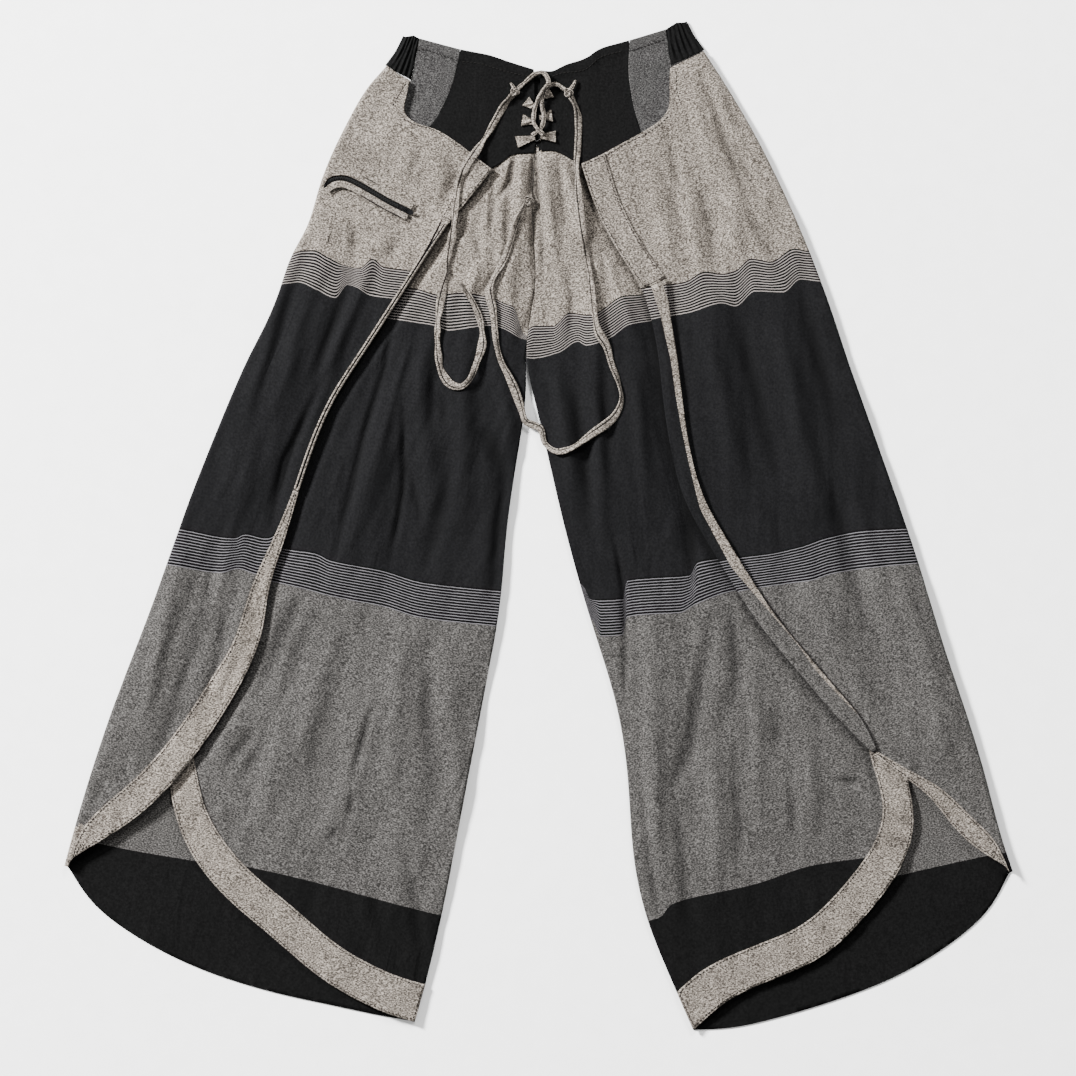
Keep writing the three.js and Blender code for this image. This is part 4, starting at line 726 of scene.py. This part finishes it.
def creases(nodes, place):
    """Small soft creases along the leg, finer than the cloth's own mesh can carry."""
    # Creases to the metre across, along and up, and 11 patches to the metre that have them
    drawn_out = node(nodes, "Mapping", {"Vector": place, "Scale": (46.0, 10.0, 20.0)}).outputs[0]
    long = noise(nodes, drawn_out, 1.0, 2.0, Distortion=1.1)
    here = ranged(nodes, noise(nodes, place, 11.0), 0.42, 0.66)
    high = maths(nodes, "MULTIPLY", long, here)
    return node(nodes, "Bump", {"Height": high, "Strength": 1.0, "Distance": CREASE_HEIGHT}).outputs[0]


def blank(name):
    """A new material with no nodes but the place on the object."""
    made = bpy.data.materials.new(name)
    made.use_nodes = True
    nodes = made.node_tree.nodes
    nodes.clear()
    return made, nodes, node(nodes, "TexCoord").outputs["Object"]


def fabric(name, colour_of, sheen, turn=0.0):
    """A matt cotton: colour_of adds the nodes of its colour."""
    made, nodes, coords = blank(name)
    place = node(nodes, "Mapping", {"Vector": coords, "Rotation": (0, 0, turn)}).outputs[0]
    shader = node(nodes, "BsdfPrincipled", {
        "Base Color": colour_of(nodes, place), "Roughness": 0.92, "Specular IOR Level": 0.06,
        "Sheen Weight": sheen, "Sheen Roughness": 0.5,
        "Normal": weave_bump(nodes, place, creases(nodes, place))})
    node(nodes, "OutputMaterial", {"Surface": shader.outputs[0]})
    return made


def with_painted_crease_shade(nodes, colour):
    """Painted shade: the cloth is darker in its creases, blended towards deep black by its crease attribute.
    """
    closed = maths(nodes, "MULTIPLY", kept(nodes, "crease"), 0.62)
    return blend_of(nodes, closed, colour, rgba(bpy.context.scene.pants_colours.deep_black))


def light_cotton():
    """Light gray heather cotton, plain woven and brushed: light flecks on gray, quite matt."""
    colours, sizes = bpy.context.scene.pants_colours, bpy.context.scene.pants_sizes
    return fabric("light_gray_heather_cotton", lambda nodes, place: with_painted_crease_shade(nodes, heather(
        nodes, place, colours.light_shade, colours.light_yarn, sizes.fleck)), 0.06)


def gray_cotton():
    """Mid gray heather cotton of the yoke, finer and closer woven: small soft flecks."""
    colours, sizes = bpy.context.scene.pants_colours, bpy.context.scene.pants_sizes
    return fabric("mid_gray_heather_cotton", lambda nodes, place: heather(
        nodes, place, colours.yoke_shade, colours.yoke_yarn, 0.8 * sizes.fleck), 0.05)


def paler(base, times):
    return [min(1.0, times * part + 0.002) for part in base]


def black_colour(nodes, place, base):
    """Black dyed yarn: nearly even, with a faint rise where fibres catch the light."""
    share = ranged(nodes, noise(nodes, place, 420.0, 3.0), 0.35, 0.75)
    return blend_of(nodes, share, rgba(base), rgba(paler(base, 1.5)))


def black_cotton():
    """Black cotton, plain woven: deep, matt, with a faint bloom where the threads turn."""
    base = bpy.context.scene.pants_colours.deep_black
    return fabric("black_woven_cotton", lambda nodes, place: black_colour(nodes, place, base), 0.0)


def above(nodes, value, limit):
    return maths(nodes, "GREATER_THAN", value, limit)


def striped_cotton(side, strip=False):
    """Cotton woven in zones down the leg: light gray, fine lines, black, fine lines, mid gray and a
    black hem. The zones come from the cloth's own attribute, so they follow its threads."""
    colours, sizes = bpy.context.scene.pants_colours, bpy.context.scene.pants_sizes

    def zones(nodes, place):
        parts = node(nodes, "SeparateXYZ", {0: kept(nodes, "bands", "Vector")}).outputs
        light = heather(nodes, place, colours.light_shade, colours.light_yarn, sizes.fleck)
        mid = heather(nodes, place, colours.mid_shade, colours.mid_yarn, sizes.fleck)
        black = black_colour(nodes, place, colours.black)
        jitter = noise(nodes, place, 300.0)
        made = light
        for down, (count, dark_share), line, after in (
                (parts[0], UPPER_LINES, colours.line, black),
                (parts[1], LOWER_LINES, colours.lower_line, mid)):
            scaled = maths(nodes, "MULTIPLY", down, float(count))
            within = maths(nodes, "FRACT", maths(nodes, "MULTIPLY_ADD", jitter, 0.22, scaled))
            lines = blend_of(nodes, above(nodes, within, dark_share), rgba(colours.deep_black), rgba(line))
            made = blend_of(nodes, above(nodes, down, 0.0), made, lines)
            made = blend_of(nodes, above(nodes, down, 1.0), made, after)
        deep = black_colour(nodes, place, colours.deep_black)
        made = blend_of(nodes, above(nodes, parts[2], 0.0), made, deep)
        if strip:
            made = blend_of(nodes, above(nodes, kept(nodes, "strip"), 0.0), light, made)
        return with_painted_crease_shade(nodes, made)

    return fabric(f"striped_woven_cotton_{side}" + ("_turned" if strip else ""), zones, 0.0, lean(side))


def groove_shaded_cotton():
    """Light gray heather cotton folded on itself and sewn, with painted shade along the groove where its edge
    is tucked in.
    """
    colours, sizes = bpy.context.scene.pants_colours, bpy.context.scene.pants_sizes

    def folded(nodes, place):
        light = heather(nodes, place, colours.light_shade, colours.light_yarn, sizes.fleck)
        # Painted shade: deep black where the strip attribute is above 0
        return blend_of(nodes, above(nodes, kept(nodes, "strip"), 0.0), light, rgba(colours.deep_black))

    return fabric("light_gray_cotton_with_painted_groove_shade", folded, 0.06)


def plain(name, base, roughness, metallic=0.0, grain=900.0, bump=0.15, specular=0.5):
    """Thread, zip tape or enamelled metal: one colour with a fine uneven grain."""
    made, nodes, place = blank(name)
    uneven = noise(nodes, place, grain, 3.0)
    shader = node(nodes, "BsdfPrincipled", {
        "Base Color": blend_of(nodes, uneven, rgba(base), rgba(paler(base, 1.6))),
        "Roughness": roughness, "Metallic": metallic, "Specular IOR Level": specular,
        "Normal": node(nodes, "Bump", {"Height": uneven, "Strength": bump, "Distance": 0.1 * MM}).outputs[0]})
    node(nodes, "OutputMaterial", {"Surface": shader.outputs[0]})
    return made


def material(name, make, *about):
    """A material by name, made the first time it is asked for."""
    return bpy.data.materials.get(name) or make(*about)


# ---- Operators ----

class PANTS_OT_stage(bpy.types.Operator):
    """Pale floor, soft studio light and a long lens straight above"""
    bl_idname = "pants.stage"
    bl_label = "Stage"

    def execute(self, context):
        distance, sensor = 6.0, 36.0
        wide = PICTURE * PIXEL
        lens = bpy.data.cameras.new("camera")
        lens.sensor_width = sensor
        lens.lens = sensor * distance / wide
        lens.clip_end = 100.0
        camera = link("camera", lens)
        middle = PICTURE / 2
        camera.location = ((middle - MIDDLE[0]) * PIXEL, (MIDDLE[1] - middle) * PIXEL, distance)
        context.scene.camera = camera

        bpy.ops.mesh.primitive_plane_add(size=12.0, location=(0, 0, -0.2 * MM))
        floor = context.active_object
        floor.name = "floor"
        dress(floor, plain("painted_board", linear("#f4f4f3"), 0.9, grain=40.0, bump=0.0))

        for name, (place, size, power) in LIGHTS.items():
            lamp = bpy.data.lights.new(name, "AREA")
            lamp.size, lamp.energy = size, power
            stand = link(name, lamp)
            stand.location = place
            stand.rotation_euler = (-Vector(place)).to_track_quat("-Z", "Y").to_euler()
        world = bpy.data.worlds.new("studio")
        context.scene.world = world
        world.use_nodes = True
        sky = world.node_tree.nodes["Background"]
        sky.inputs["Color"].default_value = (1.0, 1.0, 1.0, 1.0)
        sky.inputs["Strength"].default_value = 0.5
        return {"FINISHED"}


class PANTS_OT_legs(bpy.types.Operator):
    """Outer panels and inner fronts, with their folds and woven zones"""
    bl_idname = "pants.legs"
    bl_label = "Legs"

    def execute(self, context):
        for side in ("left", "right"):
            cloth = material(f"striped_woven_cotton_{side}", striped_cotton, side)
            for kind, name in (("flap", f"{side}_outer_panel"), ("inner", f"{side}_inner_front")):
                piece = cloth_copy(name)
                places = points_of(piece)
                x, y, z = places.T
                rise = relief(kind, side, x, y)
                if kind == "flap":
                    rise = rise * ease(z, UPPER, 3.6 * MM)
                places[:, 2] += rise
                set_points(piece, places)
                zones = woven_zones(f"{side}_{'outer' if kind == 'flap' else 'inner'}", x, y)
                if name == "left_outer_panel":
                    zones[(y < TRIM_ROUND) & (z > UPPER)] = -1
                if kind == "inner":
                    zones[y > np.interp(x, *spots(YOKE_LOW).T), 2] = 1
                attribute(piece, "bands", zones)
                # Painted shade in the troughs of the folds, growing with their depth; the crease attribute
                # carries it to the material
                crease = np.clip(-folds(kind, x, y) / FOLD_FULL_SHADE, 0, 1) ** 1.3
                if kind == "inner":
                    # Painted shade in the folds where the flap comes down on it and where the two fronts meet
                    painted_seam_shade = ease(-np.abs(x + 5 * MM), -5 * MM, 0) * ease(y, 345 * MM, 395 * MM)
                    painted_contact_shade = ease(-np.abs(inside_edge(side, x, y)), -9 * MM, 0)
                    crease = np.maximum.reduce((crease, painted_contact_shade, painted_seam_shade))
                attribute(piece, "crease", crease * ease(z, UPPER, 2.4 * MM))
                declare(piece, name, cloth)
        return {"FINISHED"}


def woven_zones(name, x, y):
    """Places across the two striped bands, 0 at a band's top and 1 at its foot, and below the hem's line."""
    top_1, foot_1, top_2, foot_2, hem = (level(rows, x) for rows in BORDERS[name])
    return np.column_stack((
        (top_1 - y) / (top_1 - foot_1), (top_2 - y) / (top_2 - foot_2), (hem - y) / HEM_REACH))


def follow(name, kind, side, lift=0.3 * MM, levels=LEVELS):
    """A trim's finer cloth, lifted as the panel under it is."""
    piece = cloth_copy(name, levels)
    places = points_of(piece)
    places[:, 2] += relief(kind, side, places[:, 0], places[:, 1]) + lift
    set_points(piece, places)
    return piece


class PANTS_OT_trims(bpy.types.Operator):
    """Light bands along the flaps and the inner fronts, with the rolled and the turned edge"""
    bl_idname = "pants.trims"
    bl_label = "Trims"

    def execute(self, context):
        light = material("light_gray_heather_cotton", light_cotton)
        for name in TRIMS:
            piece = follow(name, "inner" if "inner" in name else "flap", name.split("_")[0])
            places = points_of(piece)
            dents = folds("trim", places[:, 0], places[:, 1])
            places[:, 2] += dents
            set_points(piece, places)
            # Painted shade in the dents across the light bands, growing with their depth
            attribute(piece, "crease", np.clip(-dents / DENT_FULL_SHADE, 0, 1))
            declare(piece, name, light)
        self.rolled()
        self.turned()
        return {"FINISHED"}

    def rolled(self):
        """The left flap's edge, rolled up on itself: its rim is round, and a groove runs along it, darkened
        with painted shade.
        """
        name = "left_flap_rolled_edge"
        piece = follow(name, "flap", "left")
        places = points_of(piece)
        loop = rim(piece)
        off, _ = off_line(places[:, 0], places[:, 1], np.vstack((loop, loop[:1]))[:, :2])
        top = ease(places[:, 2] - places[:, 2].min(), 0, 1 * MM)
        places[:, 2] -= 0.9 * MM * (1 - np.sqrt(np.clip(off / (1.4 * MM), 0, 1))) * top
        places[:, 2] -= 1.1 * MM * ease(off, 1.7 * MM, 2.3 * MM) * top
        set_points(piece, places)
        # Painted shade along the groove, where this is above 0
        attribute(piece, "strip", np.minimum(off - 2.0 * MM, 3.6 * MM - off))
        declare(piece, name, material("light_gray_cotton_with_painted_groove_shade", groove_shaded_cotton))

    def turned(self):
        """The right flap's edge folded back: it stands up at the fold and shows the light strip."""
        name = "right_flap_turned_edge"
        piece = follow(name, "flap", "right")
        places = points_of(piece)
        x, y = places[:, 0], places[:, 1]
        fold = np.abs(inside_edge("right", x, y))
        places[:, 2] += 1.6 * MM * ease(fold, 0, 9 * MM) * ease(places[:, 2] - places[:, 2].min(), 0, 1 * MM)
        set_points(piece, places)
        off, share = off_line(x, y, spots(TURNED_STRIP))
        longs = along(spots(TURNED_STRIP))
        wide = np.interp(share, longs / longs[-1], [row[2] * MM for row in TURNED_STRIP])
        attribute(piece, "bands", woven_zones("right_outer", x, y))
        attribute(piece, "strip", off - wide)
        declare(piece, name, striped_cotton("right", strip=True))


class PANTS_OT_yoke(bpy.types.Operator):
    """Front and back yoke with the turned waist hem and the ruched sides"""
    bl_idname = "pants.yoke"
    bl_label = "Yoke"

    def execute(self, context):
        black = material("black_woven_cotton", black_cotton)
        gray = material("mid_gray_heather_cotton", gray_cotton)
        for name in ("left_yoke_gray", "left_yoke_centre", "right_yoke_centre", "right_yoke_gray",
                     "back_yoke", "left_elastic", "right_elastic"):
            piece = cloth_copy(name)
            places = points_of(piece)
            x, y, z = places.T
            if name.endswith("elastic"):
                # Ribs about 6 mm apart, on cloth that is a little wider than its solid
                side = -1 if name.startswith("left") else 1
                places[:, 0] += (x - x.mean()) * 0.024
                across = x * math.cos(0.45) + side * y * math.sin(0.45)
                ribs = 0.5 + 0.5 * np.sin(2 * math.pi * across / (6.4 * MM) + 0.7 * np.sin(y / (9 * MM)))
                places[:, 2] += 1.0 * MM * ribs * ease(z, 2.4 * MM, 4 * MM)
            elif name != "back_yoke":
                rumpled = ease(np.abs(x), 42 * MM, 62 * MM) * ease(z, 3.2 * MM, 4 * MM)
                places[:, 2] += 0.35 * MM * (1 + waves(x, y, 0.2)) * rumpled
            set_points(piece, places)
            declare(piece, name, gray if "gray" in name else black)
        return {"FINISHED"}


class PANTS_OT_zip(bpy.types.Operator):
    """Zip of the hip pocket: tape, teeth and welts, with the slider and its pull"""
    bl_idname = "pants.zip"
    bl_label = "Zip"

    def execute(self, context):
        colours, sizes = context.scene.pants_colours, context.scene.pants_sizes
        light = material("light_gray_heather_cotton", light_cotton)
        tape_cloth = plain("zip_tape_polyester", colours.deep_black, 0.85, specular=0.06)
        for name in ("zip_tape", "zip_welt_upper", "zip_welt_lower"):
            is_tape = name == "zip_tape"
            lift, levels = (0.0, 2) if is_tape else (0.9 * MM, LEVELS)
            piece = follow(name, "flap", "left", lift, levels)
            places = points_of(piece)
            places[:, 0] = np.maximum(places[:, 0], np.interp(places[:, 1], *(np.array(HIP_SIDE) * MM).T))
            set_points(piece, places)
            if is_tape:
                tape = tree(piece)
            else:
                off, _ = off_line(places[:, 0], places[:, 1], np.array(ZIP) * MM)
                start, end = (x * MM for x in WELT_GAP_SHADE[name])
                painted_gap_shade = ease(places[:, 0], start, start + 8 * MM) * ease(-places[:, 0], -end, -end + 8 * MM)
                # Painted shade along the welt's outer seam where it gapes
                attribute(piece, "crease", 1.5 * ease(off, 8.4 * MM, 9.6 * MM) * painted_gap_shade)
            declare(piece, name, tape_cloth if is_tape else light)
        line = smooth_line([(x * MM, y * MM, 0) for x, y in ZIP], sizes.tooth_pitch)
        clear = np.hypot(line[:, 0] - SLIDER[0] * MM, line[:, 1] - SLIDER[1] * MM) > SLIDER_REACH
        places = []
        for k in range(2, len(line) - 2):
            if clear[k]:
                ahead = Vector(line[k + 1] - line[k - 1]).normalized()
                across = Vector((-ahead.y, ahead.x, 0))
                middle = Vector(line[k]) + across * (0.5 * MM if k % 2 else -0.5 * MM)
                middle.z = top_at([tape], *middle.xy) + 0.15 * MM
                places.append((middle, across))
        teeth = many("zip_teeth", places, pill(*TOOTH))
        nylon = plain("zip_teeth_nylon", colours.deep_black, 0.6, specular=0.2)
        carry(teeth, nylon, SOFT)
        metal = plain("black_enamelled_zinc", colours.metal, 0.32, 0.85, 500.0, 0.05)
        for name in ("zip_slider", "zip_pull_tab"):
            dress(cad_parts[name], metal)
        return {"FINISHED"}


class PANTS_OT_lacing(bpy.types.Operator):
    """Cloth loops, laces with their knots and tails, and the two long ties"""
    bl_idname = "pants.lacing"
    bl_label = "Lacing and ties"

    def execute(self, context):
        sizes = context.scene.pants_sizes
        groove_shaded = material("light_gray_cotton_with_painted_groove_shade", groove_shaded_cotton)
        self.loops(material("light_gray_heather_cotton", light_cotton))
        knots = {name: self.knot(name, groove_shaded) for name in KNOTS}
        for name in ("lace_left", "lace_right"):
            line = smooth_line(np.array(ROUTES[name]) * MM, 1.5 * MM)
            lace = ribbon(
                name + "_cord", line,
                lambda s: sizes.lace_width * (0.92 + 0.13 * math.sin(31 * s + 1) + 0.06 * math.sin(67 * s)),
                lambda s: sizes.lace_thickness * (0.95 + 0.12 * math.sin(43 * s)),
                lambda s: 0.5 * math.sin(9 * s + 1) + 0.2 * math.sin(23 * s))
            self.finish_cord(lace, name, line, sizes.lace_width, "object", groove_shaded, [])
        ground = [tree(bpy.data.objects[name + "_cloth"]) for name in CLOTH
                  if name != "back_yoke" and "elastic" not in name and "zip" not in name]
        for name, with_knots, far_end in (
                ("left_tie", ["left_knot"], "bare"),
                ("right_tie", ["right_knot", "right_tie_end_knot"], "knot")):
            line = self.laid(smooth_line(np.array(ROUTES[name]) * MM, 2.5 * MM), ground, far_end == "knot")
            tie = ribbon(
                name + "_ribbon", line,
                lambda s: sizes.tie_width * (0.88 + 0.17 * math.sin(38 * s + 0.6) + 0.08 * math.sin(91 * s)),
                lambda s: sizes.tie_thickness * (0.95 + 0.12 * math.sin(57 * s + 2)),
                lambda s: 0.25 * math.sin(17 * s + 0.5) + 0.9 * math.sin(29 * s + 1.2) ** 5)
            pieces = [piece for knot in with_knots for piece in knots[knot]]
            self.finish_cord(tie, name, line, sizes.tie_width, far_end, groove_shaded, pieces)
        return {"FINISHED"}

    def laid(self, line, ground, knotted):
        """The tie's line, laid on the cloth. It keeps its own height in a knot."""
        sizes = bpy.context.scene.pants_sizes
        longs = along(line)
        heights = []
        for k, place in enumerate(line):
            ahead = line[min(k + 1, len(line) - 1)] - line[max(k - 1, 0)]
            across = np.array((-ahead[1], ahead[0])) / np.hypot(*ahead[:2])
            tops = [top_at(ground, *(place[:2] + across * off * MM)) for off in (-3.6, -1.8, 0, 1.8, 3.6)]
            heights.append(max(tops) + sizes.tie_thickness / 2 + 0.25 * MM)
        heights = np.array(heights)
        soft = near(np.mean, near(np.max, heights))
        ends = ease(longs, 2 * MM, 18 * MM)
        if knotted:
            ends = ends * ease(longs[-1] - longs, 2 * MM, 18 * MM)
        laid = line.copy()
        laid[:, 2] = line[:, 2] * (1 - ends) + np.maximum(soft, heights) * ends
        return laid

    def finish_cord(self, piece, name, line, width, far_end, cloth, pieces):
        carry(piece, cloth)
        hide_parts(name)

    def knot(self, name, cloth):
        """An overhand knot pulled tight, with its short tail."""
        middle = np.array(KNOTS[name]) * MM
        # Half width of the knot and how far its turns swing in and out of it. The end knot is the bigger
        wide, deep = (3.0 * MM, 1.5 * MM) if "end" in name else (2.5 * MM, 1.25 * MM)
        turns = np.linspace(0, 2 * math.pi, 60, endpoint=False)
        loop = np.column_stack((
            (wide + deep * np.cos(3 * turns)) * np.cos(2 * turns) * 1.15,
            (wide + deep * np.cos(3 * turns)) * np.sin(2 * turns),
            0.8 * deep * np.sin(3 * turns))) + middle
        body = ribbon(
            name + "_body", loop, lambda s: 3.0 * MM, lambda s: 2.2 * MM, lambda s: 0.6, closed=True,
            sides=10)
        line = smooth_line(np.array(TAILS[name]) * MM, 1 * MM)
        tail = ribbon(
            name + "_tail", line, lambda s: (4.6 - 2.6 * s * s) * MM, lambda s: (2.0 - 0.6 * s) * MM,
            lambda s: 0.5 * s, sides=10)
        for piece in (body, tail):
            carry(piece, cloth)
        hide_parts(name)
        return body, tail

    def loops(self, cloth):
        """Loops of folded cloth, pleated towards the tip where the lace pulls them together."""
        for side in ("left", "right"):
            for number in (1, 2, 3):
                name = f"{side}_loop_{number}"
                piece = cloth_copy(name)
                low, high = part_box(name)
                middle = (low + high) / 2
                tip_x = low.x if side == "right" else high.x
                places = points_of(piece)
                x, y, z = places.T
                reach = np.abs(x - tip_x)
                fan = (y - middle.y) / (reach + 4 * MM)
                top = ease(z, low.z + 0.8 * MM, low.z + 1.8 * MM)
                pleats = 0.9 * MM * np.cos(11 * fan + number) * ease(reach, 0, 5 * MM)
                places[:, 2] += top * (pleats - 0.3 * MM)
                set_points(piece, places)
                carry(piece, cloth, SOFT)
                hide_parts(name)


def near(how, values, reach=3):
    """The highest or the mean of each value and those beside it."""
    padded = np.pad(values, reach, mode="edge")
    return how([padded[k:k + len(values)] for k in range(2 * reach + 1)], axis=0)


def rim(piece):
    """The upper rim of a piece of cloth, in order round it."""
    mesh = bmesh.new()
    mesh.from_mesh(piece.data)
    mesh.normal_update()
    links = {}
    for edge in mesh.edges:
        upward = [face.normal.z > 0.6 for face in edge.link_faces]
        if upward.count(True) == 1 and len(upward) == 2:
            a, b = (v.index for v in edge.verts)
            links.setdefault(a, []).append(b)
            links.setdefault(b, []).append(a)
    places = {v.index: np.array(v.co) for v in mesh.verts if v.index in links}
    mesh.free()
    loop, seen = [], set()
    here = max(links, key=lambda k: places[k][1])
    while here is not None:
        loop.append(places[here])
        seen.add(here)
        here = next((k for k in links[here] if k not in seen), None)
    return np.array(loop)


def inset(loop, off):
    """A closed line at a distance inside another."""
    flat = loop[:, :2]
    ahead = np.roll(flat, -2, axis=0) - np.roll(flat, 2, axis=0)
    ahead /= np.hypot(*ahead.T)[:, None]
    area = np.sum(flat[:, 0] * np.roll(flat[:, 1], -1) - flat[:, 1] * np.roll(flat[:, 0], -1))
    made = flat + np.column_stack((-ahead[:, 1], ahead[:, 0])) * off * (1 if area > 0 else -1)
    away, _ = off_line(made[:, 0], made[:, 1], np.vstack((flat, flat[:1])))
    return made[away > 0.93 * off]     # points past a tight corner fall too near the edge, and go


def sewn(line, surface, sizes, closed=False):
    """Middle and direction of each stitch along a line on a surface."""
    if closed:
        line = np.vstack((line, line[:1]))
    longs = along(line)
    margin = 0.5 * sizes.stitch_pitch
    made = []
    for at in np.arange(margin, longs[-1] - margin, sizes.stitch_pitch):
        ends = []
        for share in (at - 0.5 * sizes.stitch, at + 0.5 * sizes.stitch):
            x, y = np.interp(share, longs, line[:, 0]), np.interp(share, longs, line[:, 1])
            ends.append(Vector((x, y, top_at([surface], x, y))))
        if (ends[1] - ends[0]).length < 1.3 * sizes.stitch and min(ends[0].z, ends[1].z) > 1 * MM:
            middle = (ends[0] + ends[1]) / 2 + Vector((0, 0, 0.1 * MM))
            made.append((middle, ends[1] - ends[0]))
    return made


class PANTS_OT_stitches(bpy.types.Operator):
    """Topstitching of the trims, the waist hem and the hip seams"""
    bl_idname = "pants.stitches"
    bl_label = "Stitches"

    def execute(self, context):
        colours, sizes = context.scene.pants_colours, context.scene.pants_sizes
        thread = plain("cotton_sewing_thread", colours.thread, 0.85, specular=0.06)
        groups = {"trim_stitches": [], "seam_stitches": []}
        for name in TRIMS:
            piece = bpy.data.objects[name + "_cloth"]
            groups["trim_stitches"] += sewn(inset(rim(piece), STITCH_INSET), tree(piece), sizes, closed=True)
        for name, lines in SEAMS.items():
            surface = tree(bpy.data.objects[name + "_cloth"])
            for line in lines:
                fine = smooth_line(spots(line), 1 * MM)
                groups["seam_stitches"] += sewn(fine, surface, sizes)
        for name, places in groups.items():
            carry(many(name, places, pill(sizes.stitch, sizes.thread)), thread)
        return {"FINISHED"}


class PANTS_PT_panel(bpy.types.Panel):
    """Lists the steps that dress the pants"""
    bl_idname = "PANTS_PT_panel"
    bl_label = "Palazzo pants"
    bl_space_type = "VIEW_3D"
    bl_region_type = "UI"
    bl_category = "Pants"

    def draw(self, context):
        for step in STEPS:
            self.layout.operator(step.bl_idname)
        for group in (context.scene.pants_sizes, context.scene.pants_colours):
            for name in group.bl_rna.properties.keys():
                if name not in ("rna_type", "name"):
                    self.layout.prop(group, name)


STEPS = (
    PANTS_OT_stage, PANTS_OT_legs, PANTS_OT_trims, PANTS_OT_yoke, PANTS_OT_zip, PANTS_OT_lacing,
    PANTS_OT_stitches)
CLASSES = (PantsSizes, PantsColours, *STEPS, PANTS_PT_panel)


def register():
    for item in CLASSES:
        bpy.utils.register_class(item)
    bpy.types.Scene.pants_sizes = PointerProperty(type=PantsSizes)
    bpy.types.Scene.pants_colours = PointerProperty(type=PantsColours)


def unregister():
    del bpy.types.Scene.pants_colours
    del bpy.types.Scene.pants_sizes
    for item in reversed(CLASSES):
        bpy.utils.unregister_class(item)


def corners(box):
    """A box as plain lists of numbers."""
    return [[float(part) for part in corner] for corner in box]


def main():
    register()
    bpy.ops.pants.stage()
    bpy.ops.pants.legs()
    bpy.ops.pants.trims()
    bpy.ops.pants.yoke()
    bpy.ops.pants.zip()
    bpy.ops.pants.lacing()
    bpy.ops.pants.stitches()


if __name__ == "__main__":
    main()
